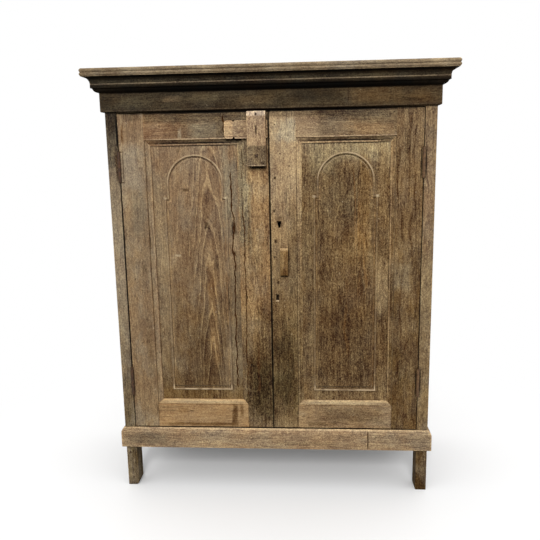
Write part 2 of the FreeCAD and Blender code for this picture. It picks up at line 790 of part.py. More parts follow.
panel_span_x = grown((sight_left, sight_right), s.panel_let_in)
panel_span_z = grown((sight_bottom, sight_top), s.panel_let_in)
groove = box("door_panel_groove", grown(panel_span_x, s.panel_clearance),
             grown((panel_front, panel_back), s.panel_clearance), grown(panel_span_z, s.panel_clearance))
stile_stick_cuts = {
    "hinge": prism("hinge_stile_sticking", "XY", sticking(flat_left, 1, 1), door_bottom, door_top),
    "meeting": prism("meeting_stile_sticking", "XY", sticking(flat_right, -1, -1), door_bottom, door_top),
}
rail_stick_cuts = {
    "top": prism("top_rail_sticking", "YZ", upright(sticking(flat_top, -1, 1)), flat_left, flat_right),
    "bottom": prism("bottom_rail_sticking", "YZ", upright(sticking(flat_bottom, 1, -1)),
                    flat_left, flat_right),
}
tenon_spans = {
    "top": (flat_top, door_top - s.door_tenon_shoulder),
    "bottom": (door_bottom + s.door_tenon_shoulder, flat_bottom),
}
rail_outlines = {
    "top": [(flat_left, door_top), (flat_left, flat_top), (sight_left, sight_top), (sight_right, sight_top),
            (flat_right, flat_top), (flat_right, door_top)],
    "bottom": [(flat_left, door_bottom), (flat_right, door_bottom), (flat_right, flat_bottom),
               (sight_right, sight_bottom), (sight_left, sight_bottom), (flat_left, flat_bottom)],
}
door_pegs, door_peg_holes, door_mortises = [], [], []
door_rails = {}
peg_y = (front + s.peg_cover, door_back)
peg_places = {"hinge": flat_left - s.door_tenon_length / 2, "meeting": flat_right + s.door_tenon_length / 2}
for name, outline in rail_outlines.items():
    tenon_x = grown((flat_left, flat_right), s.door_tenon_length)
    tenon_y = (panel_front, panel_back)
    tenons = box(f"{name}_door_tenons", tenon_x, tenon_y, tenon_spans[name])
    door_mortises.append(box(f"{name}_door_mortises", grown(tenon_x, s.joint_clearance),
                             grown(tenon_y, s.joint_clearance), grown(tenon_spans[name], s.joint_clearance)))
    blank = prism(f"{name}_door_rail_blank", "XZ", outline, front, door_back)
    holes = []
    for side, x in peg_places.items():
        middle = (tenon_spans[name][0] + tenon_spans[name][1]) / 2
        rod, hole = peg(f"{name}_{side}_peg", x, peg_y, middle)
        door_pegs.append(rod)
        holes.append(hole)
    door_peg_holes.extend(holes)
    moulded = cut(f"{name}_door_rail_moulded", blank, rail_stick_cuts[name], groove)
    door_rails[name] = cut(f"{name}_door_rail", fuse(f"{name}_door_rail_whole", moulded, tenons), *holes)
    piece(f"right_door_{name}_rail", mirror(f"right_door_{name}_rail", door_rails[name]))
piece("left_door_bottom_rail", door_rails["bottom"])


def stile_blank(name, outer, flat, sight):
    outline = [(outer, door_bottom), (flat, door_bottom), (flat, flat_bottom), (sight, sight_bottom),
               (sight, sight_top), (flat, flat_top), (flat, door_top), (outer, door_top)]
    return prism(f"{name}_stile_blank", "XZ", outline, front, door_back)


stile_cuts = [groove, *door_mortises, *door_peg_holes]
hinge_stile = cut("left_door_hinge_stile", stile_blank("hinge", door_hinge_edge, flat_left, sight_left),
                  stile_stick_cuts["hinge"], *stile_cuts, *stile_hinge_cuts)
piece("left_door_hinge_stile", hinge_stile)
piece("right_door_hinge_stile", mirror("right_door_hinge_stile", hinge_stile))
meeting_stile = cut("meeting_stile", stile_blank("meeting", door_meeting_edge, flat_right, sight_right),
                    stile_stick_cuts["meeting"], *stile_cuts)
left_pegs = piece("left_door_pegs", group("left_door_pegs", door_pegs))
piece("right_door_pegs", mirror("right_door_pegs", left_pegs))

# Door panel with a bead and a groove that frame its field: upright sides, small shoulders and a round arch

def field_outline(inset):
    """The field's outline, drawn in by an inset."""
    middle = (sight_left + sight_right) / 2
    left = sight_left + s.field_side_margin + inset
    right = sight_right - s.field_side_margin - inset
    bottom = sight_bottom + s.field_bottom_margin + inset
    crown = sight_top - s.field_top_margin
    shoulder = crown - s.shoulder_drop - inset
    radius = s.arch_radius - inset
    spring = crown - s.arch_radius
    arch = [(middle + radius, spring), (middle, spring + radius, radius, 1),
            (middle - radius, spring, radius, 1)]
    return [(left, bottom), (right, bottom), (right, shoulder), (middle + radius, shoulder), *arch,
            (middle - radius, shoulder), (left, shoulder)]


def door_panel(name):
    body = doc.addObject("PartDesign::Body", name)
    board = [(panel_span_x[0], panel_span_z[0]), (panel_span_x[1], panel_span_z[0]),
             (panel_span_x[1], panel_span_z[1]), (panel_span_x[0], panel_span_z[1])]
    new_pad(body, new_sketch(body, "XZ", board), s.door_panel_thickness, True)
    bead = new_pad(body, new_sketch(body, "XZ", field_outline(ZERO), field_outline(s.bead_width)),
                   s.bead_height, False)
    doc.recompute()
    # the crest of the bead is the face that stands furthest forward
    crest = min(enumerate(bead.Shape.Faces, start=1), key=lambda item: item[1].CenterOfMass.y)
    rounding = body.newObject("PartDesign::Fillet", f"{name}_rounding")
    rounding.Base = (bead, [f"Face{crest[0]}"])
    rounding.setExpression("Radius", s.bead_round.text)
    field_inset = s.bead_width + s.bead_groove_width
    groove = body.newObject("PartDesign::Pocket", f"{name}_groove")
    groove.Profile = new_sketch(body, "XZ", field_outline(s.bead_width), field_outline(field_inset))
    groove.setExpression("Length", s.bead_groove_depth.text)
    doc.recompute()
    # the field is the front face whose bounds end at the inner side of the groove
    field_left = sight_left + s.field_side_margin + field_inset
    field = min(enumerate(groove.Shape.Faces, start=1),
                key=lambda item: abs(item[1].BoundBox.XMin - field_left.value) + abs(item[1].BoundBox.YMax))
    bevel = body.newObject("PartDesign::Chamfer", f"{name}_bevel")
    bevel.Base = (groove, [f"Face{field[0]}"])
    bevel.setExpression("Size", s.bead_groove_bevel.text)
    return place(body, ZERO, panel_front, ZERO)


left_panel = piece("left_door_panel", door_panel("left_door_panel"))
piece("right_door_panel", mirror("right_door_panel", left_panel))

# Keeper on the left door and the wooden bolt that slides through it

keeper_right = door_meeting_edge - s.keeper_edge_inset
keeper_left = keeper_right - s.keeper_width
keeper_top = door_top - s.keeper_top_inset
keeper_bottom = keeper_top - s.keeper_height
keeper_front = front - s.keeper_depth
keeper_middle = (keeper_left + keeper_right) / 2
bolt_middle = keeper_top - s.bolt_drop
bolt_z = around(bolt_middle, s.bolt_height)
bolt_y = (front - s.bolt_clearance - s.bolt_thickness, front - s.bolt_clearance)
bolt_right = door_meeting_edge - s.bolt_tip_inset
bolt_left = bolt_right - s.bolt_length

keeper_section = [
    (front, keeper_bottom),
    (front, keeper_top),
    (keeper_front + s.keeper_bevel_depth, keeper_top),
    (keeper_front, keeper_top - s.keeper_bevel_height),
    (keeper_front, keeper_bottom),
]
keeper_blank = prism("bolt_keeper_blank", "YZ", keeper_section, keeper_left, keeper_right)
bolt_way = box("bolt_way", grown((keeper_left, keeper_right), s.overrun),
               (bolt_y[0] - s.bolt_clearance, front + s.overrun), grown(bolt_z, s.bolt_clearance))
keeper_nails, nail_holes = [], []
for name, z in (("upper_nail", keeper_top - s.upper_nail_drop), ("stop_nail", bolt_middle),
                ("lower_nail", keeper_bottom + s.lower_nail_rise)):
    solid, hole = nail(name, keeper_middle, z)
    keeper_nails.append(solid)
    nail_holes.append(hole)
piece("bolt_keeper", cut("bolt_keeper", keeper_blank, bolt_way, *nail_holes))
piece("keeper_nails", group("keeper_nails", keeper_nails))
piece("left_door_top_rail", cut("left_door_top_rail", door_rails["top"], *nail_holes))

waist = bolt_left + s.bolt_head_length
notch_left = waist - s.bolt_waist_width / 2
notch_right = waist + s.bolt_waist_width / 2
# two rounds meet in a cusp at the waist, above and below
waist_radius = arc_radius(s.bolt_waist_width / 2, s.bolt_waist_depth)
bolt_outline = [
    (notch_left, bolt_z[0]),
    (waist, bolt_z[0] + s.bolt_waist_depth, waist_radius, 1),
    (notch_right, bolt_z[0], waist_radius, 1),
    (bolt_right - s.bolt_tip_round, bolt_z[0]),
    (bolt_right, bolt_z[0] + s.bolt_tip_round, s.bolt_tip_round, 1),
    (bolt_right, bolt_z[1] - s.bolt_tip_round),
    (bolt_right - s.bolt_tip_round, bolt_z[1], s.bolt_tip_round, 1),
    (notch_right, bolt_z[1]),
    (waist, bolt_z[1] - s.bolt_waist_depth, waist_radius, 1),
    (notch_left, bolt_z[1], waist_radius, 1),
    (bolt_left + s.bolt_head_round, bolt_z[1]),
    (bolt_left, bolt_z[1] - s.bolt_head_round, s.bolt_head_round, 1),
    (bolt_left, bolt_z[0] + s.bolt_head_round),
    (bolt_left + s.bolt_head_round, bolt_z[0], s.bolt_head_round, 1),
]
bolt_blank = prism("sliding_bolt_blank", "XZ", bolt_outline, bolt_y[0], bolt_y[1])
# the stop nail stands in this slot, whose ends limit the bolt's travel
slot_reach = s.nail_radius + s.bolt_clearance
slot_x = (keeper_middle - s.bolt_travel - slot_reach, keeper_middle + slot_reach)
stop_slot = box("bolt_stop_slot", slot_x, grown(bolt_y, s.overrun), around(bolt_middle, slot_reach * 2))
piece("sliding_bolt", cut("sliding_bolt", bolt_blank, stop_slot))

# Rim lock on the back of the right door, its bolt, and the strike on the back of the left door

right_edge = -door_meeting_edge
lock_x = (right_edge + s.lock_edge_inset, right_edge + s.lock_edge_inset + s.lock_case_width)
lock_y = (door_back, door_back + s.lock_case_depth)
lock_z = around(s.lock_middle_height, s.lock_case_height)
keyhole_x = right_edge + s.keyhole_inset
lock_bolt_x = (lock_x[0], lock_x[0] + s.lock_bolt_length)
lock_bolt_y = around((lock_y[0] + lock_y[1]) / 2, s.lock_bolt_thickness)
lock_bolt_z = around(s.lock_middle_height + s.lock_bolt_rise, s.lock_bolt_height)

lock_block = box("lock_block", lock_x, lock_y, lock_z)
lock_hollow = box("lock_hollow", grown(lock_x, -s.lock_wall),
                  (lock_y[0] - s.overrun, lock_y[1] - s.lock_wall), grown(lock_z, -s.lock_wall))
bolt_gate = box("lock_bolt_gate", (lock_x[0] - s.overrun, lock_x[0] + s.lock_wall + s.overrun),
                grown(lock_bolt_y, s.lock_clearance), grown(lock_bolt_z, s.lock_clearance))
lock_shell = cut("lock_shell", lock_block, lock_hollow, bolt_gate)
# the tail of the bolt stops just short of these guides when it is fully thrown
guide_end = lock_bolt_x[1] - s.lock_throw - s.lock_bolt_stop - s.lock_clearance
guide_x = (guide_end - s.lock_bolt_stop, guide_end)
guides = []
for name, z in (("lower", (lock_z[0] + s.lock_wall, lock_bolt_z[0] - s.lock_clearance)),
                ("upper", (lock_bolt_z[1] + s.lock_clearance, lock_z[1] - s.lock_wall))):
    guides.append(box(f"lock_guide_{name}", guide_x, (lock_bolt_y[0], lock_y[1] - s.lock_wall), z))
bosses, lock_screws, lock_holes = [], [], []
for column, across in enumerate(LOCK_SCREW_SHARES):
    for line, along in enumerate(LOCK_SCREW_SHARES):
        inset = s.lock_wall / 2 + s.lock_boss_radius
        x = (lock_x[0] + lock_x[1]) / 2 + (s.lock_case_width - inset * 2) * across
        z = s.lock_middle_height + (s.lock_case_height - inset * 2) * along
        name = f"lock_{column}_{line}"
        start = (x, lock_y[0], z)
        bosses.append(cylinder(f"{name}_boss", s.lock_boss_radius, s.lock_case_depth, start, "+y"))
        solid, hole = screw(f"{name}_screw", (x, lock_y[1], z), "-y")
        lock_screws.append(solid)
        lock_holes.append(hole)
piece("lock_case", cut("lock_case", fuse("lock_case_whole", lock_shell, *guides, *bosses), *lock_holes))

bolt_bar = box("lock_bolt_bar", lock_bolt_x, lock_bolt_y, lock_bolt_z)
tail_x = (lock_bolt_x[1] - s.lock_bolt_stop, lock_bolt_x[1])
bolt_tail = box("lock_bolt_tail", tail_x, lock_bolt_y,
                (lock_bolt_z[0] - s.lock_bolt_stop, lock_bolt_z[1] + s.lock_bolt_stop))
piece("lock_bolt", fuse("lock_bolt", bolt_bar, bolt_tail))

strike_x = (door_meeting_edge - s.lock_edge_inset - s.strike_width, door_meeting_edge - s.lock_edge_inset)
strike_z = around((lock_bolt_z[0] + lock_bolt_z[1]) / 2, s.strike_height)
strike_block = box("strike_block", strike_x, lock_y, strike_z)
strike_way = box("strike_way", grown(strike_x, s.overrun), grown(lock_bolt_y, s.lock_clearance),
                 grown(lock_bolt_z, s.lock_clearance))
strike_middle = ((strike_x[0] + strike_x[1]) / 2, (strike_z[0] + strike_z[1]) / 2)
strike_screws, strike_holes = [], []
for index, share in enumerate(STRIKE_SCREW_SHARES):
    start = (strike_middle[0], lock_y[1], strike_middle[1] + s.strike_height * share)
    solid, hole = screw(f"strike_screw_{index}", start, "-y")
    strike_screws.append(solid)
    strike_holes.append(hole)
piece("lock_strike", cut("lock_strike", strike_block, strike_way, *strike_holes))
piece("left_door_screws", group("left_door_screws", door_hinge_screws + strike_screws))
piece("left_door_meeting_stile", cut("left_door_meeting_stile", meeting_stile, *nail_holes, *strike_holes))

# Pull on the right door, held by two screws from behind

pull_x = (right_edge + s.pull_inset, right_edge + s.pull_inset + s.pull_width)
pull_front = front - s.pull_depth
pull_z = around(s.pull_middle_height, s.pull_height)
pull_side = [
    (front, pull_z[0]),
    (front, pull_z[1]),
    (pull_front + s.pull_chamfer, pull_z[1]),
    (pull_front, pull_z[1] - s.pull_chamfer),
    (pull_front, pull_z[0] + s.pull_chamfer),
    (pull_front + s.pull_chamfer, pull_z[0]),
]
pull_plan = [
    (pull_x[0], front),
    (pull_x[0], pull_front + s.pull_chamfer),
    (pull_x[0] + s.pull_chamfer, pull_front),
    (pull_x[1] - s.pull_chamfer, pull_front),
    (pull_x[1], pull_front + s.pull_chamfer),
    (pull_x[1], front),
]
pull_blank = doc.addObject("Part::Common", "door_pull_blank")
pull_blank.Base = prism("pull_side", "YZ", pull_side, pull_x[0], pull_x[1])
pull_blank.Tool = prism("pull_plan", "XY", pull_plan, pull_z[0], pull_z[1])
pull_middle = (pull_x[0] + pull_x[1]) / 2
pull_screws, pull_holes = [], []
for index, share in enumerate(PULL_SCREW_SHARES):
    start = (pull_middle, front + s.screw_length / 2, s.pull_middle_height + s.pull_height * share)
    solid, hole = screw(f"pull_screw_{index}", start, "-y")
    well = cylinder(f"pull_screw_{index}_well", s.screw_head_radius + s.screw_clearance,
                    s.door_thickness - s.screw_length / 2 + s.overrun, start, "+y")
    pull_screws.append(solid)
    pull_holes.extend((hole, well))
piece("door_pull", cut("door_pull", pull_blank, *pull_holes))

# Keyholes, and the right meeting stile that they go through

keyhole = box("keyhole", around(keyhole_x, s.keyhole_width), grown((front, door_back), s.overrun),
              around(s.lock_middle_height - s.keyhole_drop, s.keyhole_height))
old_x = right_edge + s.old_keyhole_inset
old_z = around(s.old_keyhole_middle, s.old_keyhole_height)
old_keyhole = prism("old_keyhole", "XZ", [
    (old_x - s.old_keyhole_foot / 2, old_z[0]),
    (old_x + s.old_keyhole_foot / 2, old_z[0]),
    (old_x + s.old_keyhole_width / 2, old_z[1]),
    (old_x - s.old_keyhole_width / 2, old_z[1]),
], front - s.overrun, door_back + s.overrun)
far_stile = mirror("far_meeting_stile", meeting_stile)
piece("right_door_meeting_stile",
      cut("right_door_meeting_stile", far_stile, keyhole, old_keyhole, *lock_holes, *pull_holes))
hinge_twins = [mirror(f"right_{solid.Name}", solid) for solid in door_hinge_screws]
piece("right_door_screws", group("right_door_screws", hinge_twins + lock_screws + pull_screws))

# Every object and every finished shape is checked before anything is written

doc.recompute()
failed = [item.Label for item in doc.Objects if "Invalid" in item.State or "Error" in item.State]
for label, shape in pieces.items():
    if shape.Shape.isNull() or not shape.Shape.isValid() or not shape.Shape.Solids or shape.Label != label:
        failed.append(label)
if failed:
    raise RuntimeError(f"These failed: {sorted(set(failed))}")
os.makedirs("parts", exist_ok=True)
for label, shape in pieces.items():
    shape.Shape.exportStep(os.path.join("parts", f"{label}.step"))
print(f"{len(pieces)} sub-parts, {sum(len(shape.Shape.Solids) for shape in pieces.values())} solids")
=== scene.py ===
"""Looks of an old two-door panelled press cupboard: weathered wood, rusted iron, a plain studio."""

import json
import math
import random

import bmesh
import bpy
from mathutils import Matrix, Vector

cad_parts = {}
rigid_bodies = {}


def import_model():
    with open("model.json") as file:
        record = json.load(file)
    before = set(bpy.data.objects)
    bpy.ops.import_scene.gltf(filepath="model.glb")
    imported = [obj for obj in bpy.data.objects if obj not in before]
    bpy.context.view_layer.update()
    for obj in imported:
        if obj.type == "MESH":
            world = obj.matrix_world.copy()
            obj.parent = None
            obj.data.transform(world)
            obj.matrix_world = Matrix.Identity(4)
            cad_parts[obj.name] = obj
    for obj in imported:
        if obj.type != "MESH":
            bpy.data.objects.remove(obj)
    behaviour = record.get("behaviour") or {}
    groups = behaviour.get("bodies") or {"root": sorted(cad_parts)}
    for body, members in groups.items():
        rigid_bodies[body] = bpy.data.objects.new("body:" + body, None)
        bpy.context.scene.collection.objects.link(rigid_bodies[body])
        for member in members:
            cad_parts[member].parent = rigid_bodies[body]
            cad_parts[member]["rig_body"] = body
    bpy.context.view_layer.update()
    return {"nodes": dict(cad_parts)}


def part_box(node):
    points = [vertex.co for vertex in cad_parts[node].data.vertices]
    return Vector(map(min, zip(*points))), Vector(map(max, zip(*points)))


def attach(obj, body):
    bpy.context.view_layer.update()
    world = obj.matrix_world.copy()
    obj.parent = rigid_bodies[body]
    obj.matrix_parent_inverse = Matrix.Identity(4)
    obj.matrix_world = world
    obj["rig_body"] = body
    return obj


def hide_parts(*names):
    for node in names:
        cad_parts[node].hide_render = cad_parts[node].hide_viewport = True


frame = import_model()
NODES = frame["nodes"]
MM = 0.001


# Colours and node graphs

SCREEN = 2.2
DARKEST = (0.03, 0.02, 0.01)
TONE_FADE = (0.02, 0.30)
CORNER_SAMPLES = 6
# Each noise's repeats per metre along the three axes it is laid on, its detail, then any roughness and swirl
NOISES = {
    "wander": ((6, 6, 2.2), 2),
    "mottle": ((120, 120, 70), 4, 0.62, 1.4),
    "pale_wire": ((90, 90, 7), 2, 0.5, 0.6),
    "dark_wire": ((80, 80, 6), 2, 0.5, 0.6),
    "streak": ((40, 40, 2.8), 4, 0.62),
    "grit": ((300, 300, 210), 3, 0.65, 0.6),
    "blotch": ((14, 14, 8), 6, 0.66),
    "waver": ((26, 26, 4.5), 4),
    "weather": ((16, 16, 8), 5, 0.62),
    "ragged": ((34, 34, 16), 6, 0.68),
    "stray": ((22, 22, 6), 2),
    "ruddy": ((20, 20, 12), 4, 0.6),
    "broken": ((30, 30, 8), 2),
    "check": ((19, 19, 1.3), 3),
    "fleck": ((120, 120, 70), 3),
    "speck": ((130, 130, 90), 2),
    "lasting": ((24, 24, 24), 3),
    "bloom": ((90, 90, 90), 6, 0.68),
    "pit": ((700, 700, 700), 3, 0.6),
    "lump": ((260, 260, 160), 4, 0.66),
}


def srgb(red, green, blue):
    """A colour written in screen values from 0 to 255, as linear light."""

    def linear(level):
        share = level / 255
        return share / 12.92 if share <= 0.04045 else ((share + 0.055) / 1.055) ** 2.4

    return (linear(red), linear(green), linear(blue), 1.0)


class Graph:
    """The nodes of a material or a world, and the short calls that build them. All but feed, add and surface
    return an output socket."""

    def __init__(self, owner):
        owner.use_nodes = True
        self.owner = owner
        self.tree = owner.node_tree
        self.tree.nodes.clear()

    def feed(self, socket, value):
        if isinstance(value, bpy.types.NodeSocket):
            self.tree.links.new(value, socket)
        else:
            socket.default_value = value

    def add(self, kind, inputs=None, **settings):
        """A new node with its inputs and settings; kind is its type without the leading ShaderNode."""
        node = self.tree.nodes.new("ShaderNode" + kind)
        for key, value in settings.items():
            setattr(node, key, value)
        for key, value in (inputs or {}).items():
            self.feed(node.inputs[key], value)
        return node

    def math(self, operation, *values):
        return self.add("Math", dict(enumerate(values)), operation=operation).outputs[0]

    def times(self, first, second):
        return self.math("MULTIPLY", first, second)

    def total(self, *values):
        result = values[0]
        for value in values[1:]:
            result = self.math("ADD", result, value)
        return result

    def swing(self, value, amount):
        """A noise of mean one half as a signed push of that amount."""
        return self.math("MULTIPLY_ADD", value, amount, -amount / 2)

    def smooth(self, value, low, high):
        inputs = {"Value": value, "From Min": low, "From Max": high}
        return self.add("MapRange", inputs, interpolation_type="SMOOTHSTEP").outputs[0]

    def contour(self, value, width):
        """One along the thin lines where a noise crosses its mean, falling to zero beside them."""
        return self.smooth(self.math("ABSOLUTE", self.math("ADD", value, -0.5)), width, 0.0)

    def mix(self, factor, first, second, blend="MIX"):
        """Two colours mixed. Inputs 6 and 7 and output 2 are the ones a Mix node has for colours."""
        inputs = {0: factor, 6: first, 7: second}
        return self.add("Mix", inputs, data_type="RGBA", blend_type=blend).outputs[2]

    def combine(self, first, second, third):
        return self.add("CombineXYZ", {0: first, 1: second, 2: third}).outputs[0]

    def scaled(self, vector, factors, shift):
        inputs = {0: vector, 1: factors, 2: shift}
        return self.add("VectorMath", inputs, operation="MULTIPLY_ADD").outputs[0]

    def place(self):
        """Where a point of the surface is at rest, in metres."""
        return self.add("TexCoord").outputs["Object"]

    def level(self, colour):
        return self.add("RGBToBW", {0: colour}).outputs[0]

    def openness(self, reach, inside=False):
        """Low in a corner within reach, one on an open face. From inside, low at an arris instead."""
        node = self.add("AmbientOcclusion", {"Distance": reach}, samples=CORNER_SAMPLES, inside=inside)
        return node.outputs["AO"]

    def noise(self, vector, detail, roughness=0.55, swirl=0.0):
        inputs = dict(Vector=vector, Scale=1.0, Detail=detail, Roughness=roughness, Distortion=swirl)
        return self.add("TexNoise", inputs).outputs["Fac"]

    def pattern(self, kind, vector, shift=(0, 0, 0)):
        """One of the named noises, moved by shift."""
        scale, *settings = NOISES[kind]
        return self.noise(self.scaled(vector, scale, shift), *settings)

    def ramp(self, value, stops):
        """A colour that changes with value, through (place in mm, colour) stops in rising order."""
        low, high = stops[0][0], stops[-1][0]
        share = self.add("MapRange", {"Value": value, "From Min": low * MM, "From Max": high * MM})
        node = self.add("ValToRGB", {"Fac": share.outputs[0]})
        elements = node.color_ramp.elements
        while len(elements) < len(stops):
            elements.new(0.5)
        for element, (place, colour) in zip(elements, stops):
            element.position = (place - low) / (high - low)
            element.color = srgb(*colour)
        return node.outputs[0]

    def shaded(self, colour, tone, spread, hue, turn):
        """The colour made lighter or darker by tone, and turned by hue, in even steps to the eye."""
        seen = self.add("Gamma", {"Color": colour, "Gamma": 1 / SCREEN}).outputs[0]
        tone = self.times(tone, self.smooth(self.level(seen), *TONE_FADE))
        pushed = self.scaled(self.combine(tone, tone, tone), spread, seen)
        turned = self.scaled(self.combine(hue, hue, hue), turn, pushed)
        kept = self.add("VectorMath", {0: turned, 1: DARKEST}, operation="MAXIMUM").outputs[0]
        return self.add("Gamma", {"Color": kept, "Gamma": SCREEN}).outputs[0]

    def surface(self, colour, roughness, height, depth, specular, metallic=0.0):
        """The finished shader: colour, roughness and relief from nodes, the rest plain numbers."""
        bump = self.add("Bump", {"Height": height, "Strength": 1.0, "Distance": depth})
        inputs = {"Base Color": colour, "Roughness": roughness, "Normal": bump.outputs[0],
                  "Specular IOR Level": specular, "Metallic": metallic}
        shader = self.add("BsdfPrincipled", inputs)
        self.add("OutputMaterial", {"Surface": shader.outputs[0]})
        return self.owner


# Wood. A TONE lightens or darkens the colour, a RELIEF raises or sinks the surface, and a RANGE gives the two
# levels between which an effect grows. Lengths are in metres

SPREAD = (0.30, 0.28, 0.20)
RUDDY = (0.05, 0.0, -0.04)
WORN_WOOD = srgb(194, 170, 136)
# Tint for rubbed wood, also used as painted light behind a panel's bead
WEAR_AND_LIGHT_TINT = (1.75, 1.70, 1.60, 1.0)
# Dark grime, also used as painted shade in corners and creases
GRIME_AND_SHADE = srgb(27, 19, 11)
SILVER = srgb(146, 130, 106)
PALE_FLECK = srgb(198, 178, 146)
FRONT_FACE = "xz"
SIDE_FACE = "yz"
TOP_FACE = "xy"
SEED_STEPS = (1.37, 2.11, 0.73)
PLANK_SHIFT = 3.0
PLANK_TONE = 0.32
WANDER = 0.03
FIBRE_SCALE = 270
FIBRE_NOISE = (4, 0.62, 0.3)
WIRE_WIDTH = 0.035
FIBRE_TONE = 0.6
MOTTLE_TONE = 1.0
GRIT_TONE = 1.7
PALE_WIRE_TONE = 0.16
DARK_WIRE_TONE = -0.20
STREAK_TONE = 0.45
BLOTCH_TONE = 0.9
FIBRE_RELIEF = 0.8
MOTTLE_RELIEF = 0.6
GRIT_RELIEF = 0.5
RING_RELIEF = 0.15
BLOTCH_RELIEF = 0.5
SPOT_RELIEF = -0.6
WOOD_RELIEF_DEPTH = 0.0014
WOOD_ROUGHNESS = (0.3, 0.58)
FIGURE_REACH = 0.085
FIGURE_CORE_SHARE = 0.2
RING_WAVER = 2.2
RING_RISE = (0.66, 0.86)
RING_FALL = (1.0, 0.90)
RING_SHADE = (0.10, 0.60)
RING_SHADE_SHARE = 0.4
WEATHER_RANGE = (0.46, 0.62)
BACK_FADE = 0.002
RAGGED_SWING = 2.0
FIRM_SHARE = 0.3
DRIP_STRAY = 0.05
STAIN_CORNER = 0.5
STAIN_EDGE = (1.3, 0.5)
BROKEN_RANGE = (0.52, 0.62)
CHECK_WIDTH = 0.008
FLECK_RANGE = (0.66, 0.73)
SPOT_SHARE = 0.5
SPECK_RANGE = (0.70, 0.78)
SPECK_FADE = (0.01, 0.10)
SPECK_SHARE = 0.5
RUB_REACH = 0.004
RUB_RANGE = (0.92, 0.5)
CORNER_REACH = 0.005
CORNER_RANGE = (0.80, 0.35)
CORNER_DIRT_AND_SHADE_RANGE = (0.62, 0.15)


